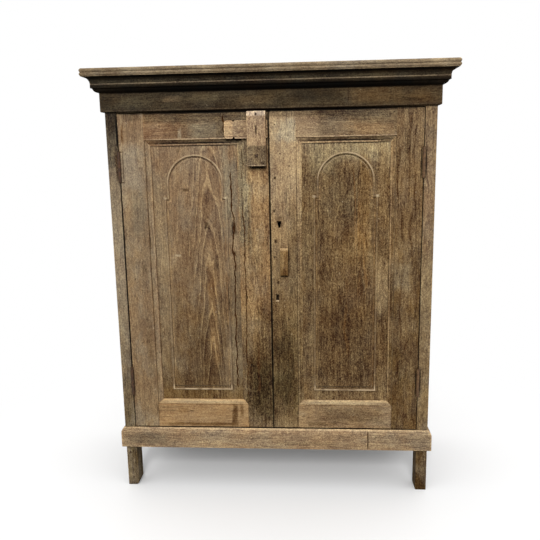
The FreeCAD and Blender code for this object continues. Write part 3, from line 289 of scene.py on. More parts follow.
def wood(name, axes, tones, seed, figure, grey=0.4, patches=(), lines=(), drips=(), dirt_and_shade_reach=0.03, wear=0.5,
         rings=0.1, crest=None, contrast=1.3, corner_dirt_and_shade=0.92, gloss=0.07, run=12, planks=None, back=None,
         face=FRONT_FACE):
    """Old bare timber. axes names the axis across the board, through it and along its grain; tones gives
    its plain colour along the grain; figure gives the pith's place across and behind the face, its slant
    and the width of a growth ring; grey is how far the wood has turned silver; patches are stains, worn
    places and some painted shadows, lines are marks with a firm edge, among them dark joints, painted shade
    in gaps and under overhangs and painted highlights, and drips are stains that wander, all on the face
    along the two axes of face, and none shows behind back; dirt_and_shade_reach is how far dirt and painted
    shade reach out of a corner; wear is how far the arrises are rubbed; rings and contrast are how strongly
    the growth rings and the whole texture show; crest is the face that a rubbed bead stands on;
    corner_dirt_and_shade is how strongly the corners are darkened with dirt and painted shade; gloss is the
    shader's specular level; run is how short the fibres are; planks is the axis, start and pitch in
    millimetres of boards that lie side by side."""
    g = Graph(bpy.data.materials.new(name))
    place = g.place()
    split = g.add("SeparateXYZ", {0: place}).outputs
    part = {axis: split[index] for index, axis in enumerate("xyz")}
    across, through, along = (part[axis] for axis in axes)
    offset = tuple(seed * step for step in SEED_STEPS)
    turned = offset[::-1]
    length = along
    if planks is not None:
        axis, start, pitch = planks
        number = g.math("FLOOR", g.math("MULTIPLY_ADD", part[axis], 1 / (pitch * MM), -start / pitch))
        chance = g.add("TexWhiteNoise", {"W": number}, noise_dimensions="1D").outputs["Value"]
        length = g.math("MULTIPLY_ADD", chance, PLANK_SHIFT, along)
    grain = g.combine(across, through, length)

    bent = g.math("ADD", across, g.swing(g.pattern("wander", grain, offset), WANDER))
    line = g.combine(bent, through, length)
    fibre = g.noise(g.scaled(line, (FIBRE_SCALE, FIBRE_SCALE, run), offset), *FIBRE_NOISE)
    mottle = g.pattern("mottle", grain, turned)
    pale_wire = g.contour(g.pattern("pale_wire", line, offset), WIRE_WIDTH)
    dark_wire = g.contour(g.pattern("dark_wire", line, turned), WIRE_WIDTH)
    streak = g.pattern("streak", line, offset)
    grit = g.pattern("grit", grain, offset)
    blotch = g.pattern("blotch", grain, offset)

    pith, behind, slant, ring_width = figure
    reach = g.math("ADD", bent, -pith)
    lift = g.math("MULTIPLY_ADD", length, slant, behind)
    radius = g.math("SQRT", g.total(g.times(reach, reach), g.times(lift, lift)))
    waver = g.swing(g.pattern("waver", line, offset), RING_WAVER)
    phase = g.math("FRACT", g.total(g.math("DIVIDE", radius, ring_width), waver))
    pale_line = g.times(g.smooth(phase, *RING_RISE), g.smooth(phase, *RING_FALL))
    ring = g.math("SUBTRACT", pale_line, g.times(g.smooth(phase, *RING_SHADE), RING_SHADE_SHARE))
    near_pith = g.smooth(g.math("ABSOLUTE", reach), FIGURE_REACH, FIGURE_REACH * FIGURE_CORE_SHARE)
    ring = g.times(ring, near_pith)

    tone = g.total(g.swing(fibre, FIBRE_TONE), g.swing(mottle, MOTTLE_TONE), g.swing(grit, GRIT_TONE),
                   g.times(pale_wire, PALE_WIRE_TONE), g.times(dark_wire, DARK_WIRE_TONE),
                   g.swing(streak, STREAK_TONE), g.swing(blotch, BLOTCH_TONE), g.times(ring, rings))
    if planks is not None:
        tone = g.total(tone, g.swing(chance, PLANK_TONE))
    tone = g.times(tone, contrast)

    base = g.ramp(along, tones)
    weather = g.smooth(g.pattern("weather", grain, turned), *WEATHER_RANGE)
    base = g.mix(g.times(weather, grey), base, SILVER)
    shown = None if back is None else g.smooth(part["y"], back, back - BACK_FADE)
    ragged = g.swing(g.pattern("ragged", place, offset), RAGGED_SWING)
    seen = [part[axis] for axis in face]
    for patch in patches:
        base = stain(g, base, seen, ragged, shown, *patch)
    stray = g.swing(g.pattern("stray", place, turned), DRIP_STRAY)
    wandering = [g.math("ADD", seen[0], stray), seen[1]]
    for drip in drips:
        base = stain(g, base, wandering, ragged, shown, *drip)
    firm = g.times(ragged, FIRM_SHARE)
    for mark in lines:
        base = stain(g, base, seen, firm, shown, *mark)
    ruddy = g.swing(g.pattern("ruddy", grain, turned), 1.0)
    colour = g.shaded(base, tone, SPREAD, ruddy, RUDDY)

    broken = g.smooth(g.pattern("broken", line, offset), *BROKEN_RANGE)
    check = g.times(g.contour(g.pattern("check", line, turned), CHECK_WIDTH), broken)
    fleck = g.smooth(g.pattern("fleck", grain, turned), *FLECK_RANGE)
    spot = g.math("MAXIMUM", check, fleck)
    colour = g.mix(g.times(spot, SPOT_SHARE), colour, GRIME_AND_SHADE)
    speck = g.smooth(g.pattern("speck", grain, offset), *SPECK_RANGE)
    speck = g.times(speck, g.smooth(g.level(base), *SPECK_FADE))
    colour = g.mix(g.times(speck, SPECK_SHARE), colour, PALE_FLECK)

    rub = g.times(g.smooth(g.openness(RUB_REACH, inside=True), *RUB_RANGE), wear)
    colour = g.mix(rub, colour, g.mix(1.0, colour, WEAR_AND_LIGHT_TINT, "MULTIPLY"))
    if crest is not None:
        colour = bead_wear_and_painted_light(g, colour, place, part, crest, turned)
    # Corners and creases are darkened with dirt and painted shade, by how closed in the surface is
    wide = g.smooth(g.openness(dirt_and_shade_reach), *CORNER_DIRT_AND_SHADE_RANGE)
    near = g.smooth(g.openness(CORNER_REACH), *CORNER_RANGE)
    colour = g.mix(g.times(g.math("MAXIMUM", wide, near), corner_dirt_and_shade), colour, GRIME_AND_SHADE)

    height = g.total(g.times(fibre, FIBRE_RELIEF), g.times(mottle, MOTTLE_RELIEF),
                     g.times(grit, GRIT_RELIEF), g.times(ring, RING_RELIEF),
                     g.times(blotch, BLOTCH_RELIEF), g.times(spot, SPOT_RELIEF))
    rough = g.math("MULTIPLY_ADD", fibre, *WOOD_ROUGHNESS)
    return g.surface(colour, rough, height, WOOD_RELIEF_DEPTH, gloss)


# The bead on a door's panel, in metres: heights at its foot and arch, and distances behind the panel's face

BEAD_FOOT = (0.402, 0.386)
BEAD_ARCH = (1.10, 1.17)
BEAD_CROWN = (-0.0040, -0.0048)
BEAD_SUNK = (0.0002, 0.0008)
BEAD_SLOPE_END = (0.0024, 0.0018)
SUNK_PAINTED_LIGHT_SHARE = 0.5
SLOPE_SHARE = 0.9
ENDS_SHARE = 0.58
FOOT_SHARE = 0.25
LEGS_SHARE = 0.15
LASTING_RANGE = (0.36, 0.56)
LASTING_SHARE = 0.65


def bead_wear_and_painted_light(g, colour, place, part, crest, shift):
    """The colour with the crown of a panel's bead, and a thin slope behind the panel's face, rubbed pale in
    places, most at the arch and the foot. Between these, what lies behind the face is a little lighter,
    painted light against the groove's shade."""

    def behind(distances):
        start, end = distances
        return g.smooth(part["y"], crest + start, crest + end)

    foot = g.smooth(part["z"], *BEAD_FOOT)
    ends = g.math("MAXIMUM", g.smooth(part["z"], *BEAD_ARCH), foot)
    sunk = behind(BEAD_SUNK)
    slope = g.times(sunk, behind(BEAD_SLOPE_END))
    # Painted light that offsets the shade behind the face along the bead's legs
    painted_lift = g.times(sunk, g.math("SUBTRACT", 1.0, ends))
    colour = g.mix(g.times(painted_lift, SUNK_PAINTED_LIGHT_SHARE), colour, g.mix(1.0, colour, WEAR_AND_LIGHT_TINT, "MULTIPLY"))
    lasting = g.smooth(g.pattern("lasting", place, shift), *LASTING_RANGE)
    edge = g.math("MAXIMUM", behind(BEAD_CROWN), g.times(slope, SLOPE_SHARE))
    edge = g.times(edge, g.total(g.times(ends, ENDS_SHARE), g.times(foot, FOOT_SHARE), LEGS_SHARE))
    rubbed = g.times(edge, g.math("MULTIPLY_ADD", lasting, LASTING_SHARE, 1 - LASTING_SHARE))
    return g.mix(rubbed, colour, WORN_WOOD)


def stain(g, base, seen, ragged, shown, right, up, width, height, colour, strength):
    """A patch of another tone round a place on the face, in millimetres, with a ragged edge."""
    beside = g.math("ABSOLUTE", g.math("MULTIPLY_ADD", seen[0], 2 / (width * MM), -2 * right / width))
    above = g.math("ABSOLUTE", g.math("MULTIPLY_ADD", seen[1], 2 / (height * MM), -2 * up / height))
    away = g.math("SMOOTH_MAX", beside, above, STAIN_CORNER)
    inside = g.smooth(g.math("ADD", away, ragged), *STAIN_EDGE)
    if shown is not None:
        inside = g.times(inside, shown)
    return g.mix(g.times(inside, strength), base, srgb(*colour))


# Iron

IRON_SEED_STEPS = (1, 0.7, 1.9)
RUST_RANGE = (0.42, 0.62)
PIT_RANGE = (0.58, 0.72)
IRON_CORNER_RANGE = (0.75, 0.35)
IRON_GRIME_SHARE = 0.9
PIT_RELIEF = 0.6
IRON_RELIEF_DEPTH = 0.0008
IRON_ROUGHNESS = (0.5, 0.40)
IRON_GLOSS = 0.4
IRON_METALLIC = 0.35


def iron(name, seed, bare, rust):
    """Rusted iron: dark scale, patches of rust, small pits and grime in the corners."""
    g = Graph(bpy.data.materials.new(name))
    place = g.place()
    offset = tuple(seed * step for step in IRON_SEED_STEPS)
    bloom = g.pattern("bloom", place, offset)
    pit = g.pattern("pit", place, offset)
    colour = g.mix(g.smooth(bloom, *RUST_RANGE), srgb(*bare), srgb(*rust))
    colour = g.mix(g.smooth(pit, *PIT_RANGE), colour, GRIME_AND_SHADE)
    near = g.smooth(g.openness(CORNER_REACH), *IRON_CORNER_RANGE)
    colour = g.mix(g.times(near, IRON_GRIME_SHARE), colour, GRIME_AND_SHADE)
    height = g.total(bloom, g.times(pit, PIT_RELIEF))
    rough = g.math("MULTIPLY_ADD", bloom, *IRON_ROUGHNESS)
    return g.surface(colour, rough, height, IRON_RELIEF_DEPTH, IRON_GLOSS, IRON_METALLIC)


# Dirt

DARK_DIRT = srgb(46, 29, 16)
BROWN_DIRT = srgb(98, 64, 37)
LUMP_RANGE = (0.38, 0.66)
DIRT_ROUGHNESS = (0.2, 0.78)
DIRT_RELIEF_DEPTH = 0.001
DIRT_GLOSS = 0.03


def dirt(name):
    """What lies in cracks and nail holes: dark, uneven and dull."""
    g = Graph(bpy.data.materials.new(name))
    lump = g.pattern("lump", g.place())
    colour = g.mix(g.smooth(lump, *LUMP_RANGE), DARK_DIRT, BROWN_DIRT)
    rough = g.math("MULTIPLY_ADD", lump, *DIRT_ROUGHNESS)
    return g.surface(colour, rough, lump, DIRT_RELIEF_DEPTH, DIRT_GLOSS)


# Dirt in cracks and nail holes; on the walls of the bolt's notches its darkness is painted shade
CRACK_DIRT_AND_SHADE = dirt("crack_dirt_and_shade")


# Boards, in millimetres, but their figure, dirt_and_shade_reach, crest and back are in metres. Tones are
# (place along the grain, colour). Patches, lines and drips are (place along the face's first axis, along its
# second, width, height, colour, strength); many of the lines and a few patches are painted shade or painted
# highlights

UPRIGHT = "xyz"
LEVEL = "zyx"
SIDE_LEVEL = "zxy"
SIDE_UPRIGHT = "yxz"
FLAT = "yzx"
# The pith of a plain board is far off
PLAIN_UPRIGHT = dict(axes=UPRIGHT, figure=(0.9, 0.30, 0.02, 0.009))
PLAIN_LEVEL = dict(axes=LEVEL, figure=(2.0, 0.10, 0.03, 0.011))
PLAIN_SIDE = dict(axes=SIDE_LEVEL, figure=(2.0, 0.3, 0.03, 0.011))
LINE = (54, 38, 25)
SEAM = (86, 61, 38)
CRACK = (52, 34, 21)
# Near black: painted shade in gaps and under overhangs, and dark joints
BLACK = (9, 7, 5)
DRIP = (74, 49, 26)
PANEL_FACE = -186 * MM
DOOR_BACK = -179.5 * MM
DOOR_UPRIGHT = dict(PLAIN_UPRIGHT, back=DOOR_BACK)
DOOR_LEVEL = dict(PLAIN_LEVEL, back=DOOR_BACK)
DOOR_PANEL = dict(axes=UPRIGHT, crest=PANEL_FACE, corner_dirt_and_shade=0.12, back=DOOR_BACK)
# Painted shadow under the frieze on the tops of the doors, painted shade in the gaps above and below the
# doors, and painted shade in the gap between them
DOOR_SHADE = (0, 1343, 1100, 26, (84, 68, 50), 0.6)
DOOR_GAP_SHADE = [(0, 1351, 1100, 6, BLACK, 0.95), (0, 235, 1100, 5, BLACK, 0.9)]
MEETING_GAP_SHADE = (0, 793, 7, 1120, BLACK, 0.95)
# The cornice's lines are painted light and shade: painted shade under the top board, a lighter band painted
# as light on the lower cavetto, a painted highlight along the fillet's edge and painted shade over the ovolo
# and the frieze's top
CORNICE = dict(
    grey=0.0, dirt_and_shade_reach=0.05, wear=0.8, gloss=0.03, contrast=0.9,
    lines=[(0, 1467, 1400, 8, BLACK, 0.95), (0, 1453, 1400, 9, (68, 60, 46), 0.7),
           (0, 1446, 1400, 4, (128, 112, 90), 0.85), (0, 1428, 1400, 22, BLACK, 0.98)])
DOOR_MIDDLE = 255.5
ARCH_HALF = 106


def top_sticking_light_and_shade(middle):
    """Painted light and shade on the moulded edge under a top rail: a pale arris, worn and painted as lit,
    painted shade in the hollow, and a pale fillet painted as lit.
    """
    return [
        (middle, 1266, 314, 4, (186, 160, 127), 0.7), (middle, 1259, 306, 7, (86, 68, 47), 0.8),
        (middle, 1253, 302, 5, BLACK, 0.9), (middle, 1248, 298, 3, (154, 130, 101), 0.8),
    ]


def foot_bar_shade(middle):
    """Painted shade in the dark lines above and below the level foot of a panel's bead."""
    return [(middle, 389, 205, 5, (44, 31, 19), 0.9), (middle, 374.5, 214, 3, LINE, 0.6)]


def shoulders(middle):
    """Pale bruises where the arch of a panel's bead meets its legs."""
    return [(middle + side, 1068, 13, 9, (186, 168, 136), 0.7) for side in (-ARCH_HALF, ARCH_HALF)]


def bottom_bevel_light(middle):
    """The moulded upper edge of a bottom rail: a pale slope, painted light on its upward face, over a thin
    dark line.
    """
    return [(middle, 331, 330, 17, (176, 155, 120), 0.65), (middle, 320.5, 334, 3, SEAM, 0.45)]


TOP_PLANKS = ("y", -254, 169)
BOARDS = {
    "left_door_hinge_stile": dict(
        DOOR_UPRIGHT, seed=1, grey=0.5, contrast=1.0, wear=0.3, corner_dirt_and_shade=0.5,
        tones=[(235, (130, 106, 77)), (600, (136, 111, 82)), (900, (130, 108, 82)), (1352, (134, 112, 88))],
        patches=[
            (-470, 1190, 70, 190, (148, 132, 110), 0.8), (-455, 1010, 50, 160, (128, 114, 92), 0.6),
            (-430, 1300, 190, 120, (132, 106, 79), 0.85), (-440, 520, 22, 240, (104, 84, 60), 0.5),
            (-416, 300, 30, 40, (80, 56, 38), 0.7), (-409, 790, 12, 900, (142, 120, 93), 0.5), DOOR_SHADE,
        ],
        # Besides the two dark joints at the sticking, these lines are painted shade: in the gap at the door's
        # outer edge and in the recesses round the hinges
        lines=[(-421, 790, 3.5, 930, SEAM, 0.6), (-403, 790, 4, 910, SEAM, 0.6),
               (-509.5, 793, 3.5, 1120, BLACK, 0.95), (-498, 1176, 3, 108, LINE, 0.85),
               (-504, 1227, 14, 3.5, LINE, 0.9), (-504, 1124, 14, 3.5, LINE, 0.9),
               (-507, 410, 6, 104, (40, 28, 18), 0.85), *DOOR_GAP_SHADE],
        drips=[(-500, 1290, 12, 60, (96, 66, 36), 0.7)]),
    "left_door_meeting_stile": dict(
        DOOR_UPRIGHT, seed=2, grey=0.25, contrast=1.6, wear=0.15,
        tones=[(235, (118, 95, 66)), (330, (92, 72, 46)), (560, (106, 82, 54)), (720, (134, 105, 71)),
               (1100, (152, 121, 84)), (1352, (132, 109, 80))],
        patches=[
            (-38, 400, 90, 260, (67, 52, 30), 0.9), (-24, 590, 60, 210, (84, 62, 38), 0.75),
            (-88, 1060, 44, 400, (126, 115, 91), 0.75), (-45, 1145, 70, 60, (158, 124, 84), 0.6),
            (-60, 880, 60, 160, (140, 118, 84), 0.4), (-60, 1290, 140, 110, (112, 96, 75), 0.7), DOOR_SHADE,
        ],
        # The first line is painted shadow under the keeper
        lines=[(-40, 1168, 60, 10, BLACK, 0.95), MEETING_GAP_SHADE, *DOOR_GAP_SHADE],
        drips=[(-52, 470, 7, 200, DRIP, 0.8), (-70, 1000, 6, 260, (110, 86, 56), 0.7)]),
    "left_door_top_rail": dict(
        DOOR_LEVEL, seed=3, grey=0.3, contrast=1.1,
        tones=[(-422, (120, 92, 65)), (-330, (118, 90, 65)), (-250, (110, 88, 65)), (-90, (90, 77, 61))],
        patches=[
            # The first patch is painted shadow under the frieze
            (-260, 1342, 320, 50, (92, 76, 57), 0.8), (-205, 1290, 110, 50, (118, 105, 85), 0.8),
            (-400, 1290, 110, 60, (140, 108, 80), 0.5), (-158, 1308, 34, 80, (98, 80, 58), 0.6),
            (-300, 1285, 12, 34, (164, 146, 118), 0.7), DOOR_SHADE,
        ],
        # After the sticking, painted shadow under the bolt and painted shade behind its notches
        lines=[*top_sticking_light_and_shade(-DOOR_MIDDLE), (-108, 1260.5, 84, 7, BLACK, 0.9),
               (-116, 1267, 16, 12, BLACK, 0.95), (-116, 1320, 15, 9, (50, 38, 26), 0.85), *DOOR_GAP_SHADE]),
    "left_door_bottom_rail": dict(
        axes=LEVEL, seed=4, figure=(0.1, 0.2, 0.05, 0.012), grey=0.12, back=DOOR_BACK, contrast=0.9,
        tones=[(-510, (160, 127, 88)), (0, (162, 130, 90))],
        patches=[
            (-140, 288, 22, 90, (88, 60, 32), 0.9), (-115, 300, 14, 60, (104, 74, 42), 0.7),
            (-270, 246, 290, 12, (108, 78, 44), 0.8), (-330, 300, 40, 30, (130, 98, 62), 0.6),
        ],
        lines=[*bottom_bevel_light(-DOOR_MIDDLE), (-421, 285, 3.5, 100, LINE, 0.7),
               (-90, 285, 3.5, 100, LINE, 0.8), *DOOR_GAP_SHADE]),
    "left_door_panel": dict(
        DOOR_PANEL, seed=5, figure=(-0.213, 0.026, 0.050, 0.0075), grey=0.3, rings=0.62, contrast=1.1,
        tones=[(340, (112, 88, 56)), (420, (104, 82, 55)), (650, (116, 92, 64)), (900, (130, 105, 77)),
               (1245, (140, 114, 86))],
        patches=[
            (-255, 360, 300, 44, (116, 88, 50), 0.7), (-245, 520, 150, 330, (94, 72, 47), 0.7),
            (-207, 650, 34, 340, (140, 108, 70), 0.55), (-378, 800, 60, 700, (138, 118, 90), 0.6),
            (-134, 1090, 50, 260, (134, 122, 100), 0.75), (-124, 640, 36, 480, (122, 106, 81), 0.6),
            (-290, 1096, 26, 12, (66, 46, 31), 0.8), (-220, 973, 16, 24, (60, 43, 28), 0.85),
            (-327, 869, 22, 7, (176, 158, 128), 0.7), (-126, 966, 16, 40, CRACK, 0.85),
            (-126, 874, 16, 26, CRACK, 0.85), (-230, 1040, 50, 120, (116, 88, 60), 0.5),
        ],
        # The first line is painted shade under the top rail's sticking
        lines=[(-DOOR_MIDDLE, 1243.5, 296, 4, BLACK, 0.85), (-402, 790, 3, 900, SEAM, 0.5),
               (-DOOR_MIDDLE, 341, 296, 4, SEAM, 0.6), *foot_bar_shade(-DOOR_MIDDLE), *shoulders(-DOOR_MIDDLE)]),
    "right_door_hinge_stile": dict(
        DOOR_UPRIGHT, seed=6, grey=0.15, wear=0.3, contrast=1.4,
        tones=[(235, (102, 78, 48)), (500, (92, 69, 40)), (800, (103, 79, 50)), (1100, (122, 97, 66)),
               (1352, (122, 98, 70))],
        patches=[
            (446, 790, 60, 90, (132, 115, 88), 0.6), (450, 1220, 60, 120, (132, 108, 76), 0.5), DOOR_SHADE,
        ],
        # The black lines are painted shade: in the gap at the door's outer edge and beside the hinge barrels
        lines=[(403, 790, 2.5, 900, LINE, 0.6), (407, 790, 3, 900, (160, 134, 100), 0.5),
               (420, 790, 3, 920, (150, 124, 90), 0.4), (509.5, 793, 3, 1120, BLACK, 0.55),
               (502.5, 1175, 4, 104, BLACK, 0.9), (502.5, 410, 4, 104, BLACK, 0.9), *DOOR_GAP_SHADE],
        drips=[
            (462, 1190, 7, 250, DRIP, 0.8), (484, 1080, 6, 200, DRIP, 0.8), (434, 1130, 7, 240, DRIP, 0.8),
            (472, 930, 11, 170, DRIP, 0.75), (455, 1240, 10, 90, DRIP, 0.6), (448, 690, 6, 200, DRIP, 0.6),
            (478, 1250, 6, 120, DRIP, 0.6), (444, 960, 6, 150, DRIP, 0.6), (490, 830, 6, 160, DRIP, 0.55),
            (426, 900, 5, 200, DRIP, 0.5), (466, 560, 6, 180, DRIP, 0.5), (438, 480, 5, 160, DRIP, 0.5),
        ]),
    "right_door_meeting_stile": dict(
        DOOR_UPRIGHT, seed=7, grey=0.2, contrast=1.55, wear=0.15,
        tones=[(235, (128, 106, 75)), (300, (104, 83, 56)), (600, (106, 84, 55)), (760, (126, 102, 70)),
               (960, (148, 122, 88)), (1100, (164, 138, 104)), (1352, (172, 146, 112))],
        patches=[
            (45, 470, 92, 330, (82, 65, 40), 0.85), (40, 390, 80, 120, (68, 54, 32), 0.7),
            (80, 850, 38, 420, (120, 98, 67), 0.6), (56, 1285, 84, 70, (172, 157, 130), 0.8),
            (20, 640, 40, 160, (98, 76, 50), 0.5), (30, 985, 26, 40, (70, 50, 32), 0.5),
            (14, 1021, 9, 10, LINE, 0.8), (18, 1132, 12, 12, LINE, 0.85), (17, 918, 10, 11, LINE, 0.8),
            (13, 862, 10, 10, LINE, 0.8), (25, 773, 9, 9, LINE, 0.8), DOOR_SHADE,
        ],
        # Painted shadow below the pull, painted shade along its right side and painted shade in the lower
        # keyhole
        lines=[(90, 790, 2.5, 920, LINE, 0.4), (94, 790, 2.5, 910, (170, 144, 108), 0.4),
               (99, 790, 2.5, 900, LINE, 0.3), (106.5, 790, 6, 890, (112, 91, 62), 0.7),
               (46, 797, 29, 8, BLACK, 0.95), (62, 847, 4, 92, LINE, 0.6), (21.5, 721, 11, 21, BLACK, 0.9),
               (21, 708, 12, 5, (200, 174, 138), 0.85), MEETING_GAP_SHADE, *DOOR_GAP_SHADE]),
    "right_door_top_rail": dict(
        DOOR_LEVEL, seed=8, grey=0.3, contrast=1.3,
        tones=[(90, (154, 128, 96)), (190, (132, 109, 80)), (420, (116, 95, 69))],
        patches=[
            # The first patch is painted shadow under the frieze
            (270, 1342, 300, 50, (92, 76, 57), 0.8), (330, 1285, 170, 40, (146, 116, 82), 0.6),
            (180, 1290, 90, 50, (142, 122, 94), 0.5), (120, 1300, 90, 80, (164, 138, 106), 0.7), DOOR_SHADE,
        ],
        lines=[*top_sticking_light_and_shade(DOOR_MIDDLE), *DOOR_GAP_SHADE]),
    "right_door_bottom_rail": dict(
        axes=LEVEL, seed=9, figure=(0.2, 0.1, 0.1, 0.012), grey=0.3, back=DOOR_BACK,
        tones=[(0, (146, 120, 87)), (510, (150, 123, 90))],
        patches=[(290, 285, 220, 60, (112, 90, 62), 0.6), (170, 250, 90, 14, (90, 68, 44), 0.6)],
        lines=[*bottom_bevel_light(DOOR_MIDDLE), (90, 285, 3.5, 100, LINE, 0.7),
               (421, 285, 3.5, 100, LINE, 0.7), *DOOR_GAP_SHADE]),
    "right_door_panel": dict(
        DOOR_PANEL, seed=10, figure=(0.235, 0.070, 0.035, 0.009), grey=0.1, contrast=1.6,
        tones=[(340, (116, 92, 62)), (420, (101, 78, 51)), (650, (102, 78, 50)), (850, (106, 82, 53)),
               (1150, (116, 92, 62)), (1245, (146, 125, 96))],
        patches=[
            (255, 1215, 300, 64, (154, 136, 102), 0.85), (180, 1170, 80, 60, (146, 128, 94), 0.6),
            (245, 1080, 170, 240, (100, 80, 54), 0.55), (318, 1060, 40, 360, (136, 104, 62), 0.5),
            (290, 880, 90, 140, (122, 92, 54), 0.45), (255, 560, 200, 330, (90, 68, 43), 0.6),
            (386, 760, 44, 180, (152, 128, 93), 0.7), (380, 1080, 40, 300, (128, 100, 64), 0.6),
            (134, 800, 44, 700, (116, 95, 66), 0.6),
        ],
        # The first line is painted shade under the top rail's sticking
        lines=[(DOOR_MIDDLE, 1243.5, 296, 4, BLACK, 0.85), (DOOR_MIDDLE, 341, 296, 4, SEAM, 0.6),
               *foot_bar_shade(DOOR_MIDDLE), *shoulders(DOOR_MIDDLE)],
        drips=[
            (300, 930, 12, 380, (138, 102, 60), 0.4), (322, 850, 9, 240, (142, 104, 60), 0.4),
            (284, 1010, 7, 360, (136, 100, 60), 0.5), (332, 850, 5, 220, (82, 56, 30), 0.7),
            (310, 780, 5, 160, (88, 60, 32), 0.6), (262, 620, 8, 260, (124, 92, 54), 0.5),
        ]),
    "front_post_left": dict(
        PLAIN_UPRIGHT, seed=11, grey=0.6, contrast=1.1,
        tones=[(0, (74, 58, 34)), (150, (88, 71, 46)), (400, (112, 95, 72)), (800, (146, 129, 105)),
               (1200, (124, 108, 87)), (1360, (80, 69, 54))],
        patches=[
            (-537, 130, 9, 9, LINE, 0.9), (-530, 29, 10, 10, LINE, 0.9),
            (-535, 30, 40, 40, (150, 132, 104), 0.5), (-546, 85, 16, 150, (134, 116, 88), 0.6),
            (-530, 1330, 60, 120, (56, 47, 35), 0.9), (-530, 1240, 60, 130, (84, 74, 59), 0.8),
        ],
        # Painted shade in the gap beside the door and in the recesses round its hinges
        lines=[(-513.5, 1290, 7, 136, BLACK, 0.95), (-512, 680, 3.5, 890, BLACK, 0.95),
               (-518, 1175, 13, 106, (70, 52, 36), 0.85), (-515, 410, 6, 104, (52, 39, 27), 0.8)]),
    "front_post_right": dict(
        PLAIN_UPRIGHT, seed=12, grey=0.3,
        tones=[(0, (80, 59, 32)), (150, (90, 68, 41)), (240, (120, 99, 70)), (800, (132, 110, 80)),
               (1360, (134, 111, 82))],
        patches=[(530, 1060, 30, 300, (152, 124, 94), 0.5)],
        # Painted shade in the gap beside the door and beside the hinge barrels
        lines=[(512.5, 793, 3, 1130, BLACK, 0.4), (518.5, 1175, 4, 106, BLACK, 0.9),
               (518.5, 410, 4, 106, BLACK, 0.9)]),
    "frieze_front": dict(
        PLAIN_LEVEL, seed=13, grey=0.05, dirt_and_shade_reach=0.05, gloss=0.03, contrast=0.75,
        tones=[(-560, (60, 50, 37)), (-100, (64, 53, 38)), (100, (60, 49, 34)), (560, (72, 57, 38))],
        patches=[
            (340, 1395, 170, 50, (96, 75, 49), 0.7), (480, 1385, 130, 40, (92, 71, 46), 0.6),
            (-320, 1395, 60, 20, (110, 90, 66), 0.5), (150, 1400, 160, 46, (46, 37, 26), 0.6),
            (-40, 1385, 120, 30, (92, 76, 54), 0.5), (-440, 1390, 120, 40, (84, 73, 54), 0.6),
            (-220, 1400, 140, 30, (88, 76, 56), 0.5), (-540, 1390, 40, 70, (48, 42, 33), 0.6),
        ],
        # The second line is painted shadow under the cornice
        lines=[(261, 1400, 3, 90, LINE, 0.8), (0, 1422, 1300, 12, BLACK, 0.97),
               (0, 1361, 1300, 4, (88, 74, 56), 0.6)]),
    "cornice_moulding_front": dict(
        CORNICE, **PLAIN_LEVEL, seed=14, tones=[(-600, (46, 39, 29)), (600, (48, 39, 28))]),
    "top_board": dict(
        axes=FLAT, seed=15, figure=(0.06, 0.02, 0.06, 0.009), grey=0.7, dirt_and_shade_reach=0.04, run=5, rings=0.35,
        contrast=1.0, wear=0.9, planks=TOP_PLANKS, face=TOP_FACE,
        tones=[(-610, (112, 95, 74)), (610, (128, 111, 88))],
        patches=[
            (-330, 40, 320, 150, (138, 121, 97), 0.6), (170, -60, 380, 130, (98, 82, 61), 0.6),
            (430, 130, 240, 160, (142, 124, 98), 0.6), (-60, 170, 300, 110, (100, 84, 63), 0.6),
            (-480, -120, 160, 120, (104, 88, 66), 0.5), (20, 40, 90, 80, (84, 68, 49), 0.5),
        ],
        lines=[(0, -85, 1230, 2.5, BLACK, 0.8), (0, 84, 1230, 2.5, BLACK, 0.8)]),
    "base_moulding_front": dict(
        axes=LEVEL, seed=16, figure=(0.4, 0.1, 0.03, 0.010), grey=0.4, wear=0.7, contrast=1.5,
        tones=[(-560, (143, 119, 91)), (0, (153, 126, 95)), (560, (148, 123, 93))],
        patches=[(-470, 190, 150, 40, (120, 106, 84), 0.6), (120, 180, 240, 18, (118, 97, 72), 0.5)],
        # The second line is a painted highlight along the top edge
        lines=[(338, 195, 5, 74, LINE, 0.8), (0, 231, 1160, 8, (194, 168, 131), 0.85)]),
    "bolt_keeper": dict(
        axes=UPRIGHT, seed=17, figure=(0.1, 0.1, 0.05, 0.009), grey=0.15, contrast=1.6,
        # The brightest tones at the top are a painted highlight on the top bevel
        tones=[(1173, (114, 95, 71)), (1236, (110, 91, 68)), (1242, (158, 131, 100)), (1320, (166, 139, 108)),
               (1333, (170, 143, 112)), (1337, (208, 185, 156)), (1350, (208, 185, 156))],
        patches=[(-40, 1292, 8, 26, LINE, 0.8), (-40, 1205, 10, 10, LINE, 0.8),
                 (-18, 1182, 12, 14, LINE, 0.6)],
        lines=[(-40, 1175, 64, 4, (166, 144, 116), 0.7)]),
    "sliding_bolt": dict(
        PLAIN_LEVEL, seed=18, grey=0.15, contrast=1.5,
        tones=[(-150, (184, 154, 117)), (-122, (178, 148, 112)), (-114, (157, 132, 103)),
               (0, (148, 120, 88))],
        lines=[(-75, 1265.5, 150, 4, (196, 172, 140), 0.7)]),
    "door_pull": dict(
        axes=UPRIGHT, seed=19, figure=(0.2, 0.1, 0.05, 0.008), grey=0.05,
        # The pale top stop is painted light on the pull's top face
        tones=[(800, (112, 84, 49)), (884, (134, 103, 64)), (894, (192, 160, 116))]),
}

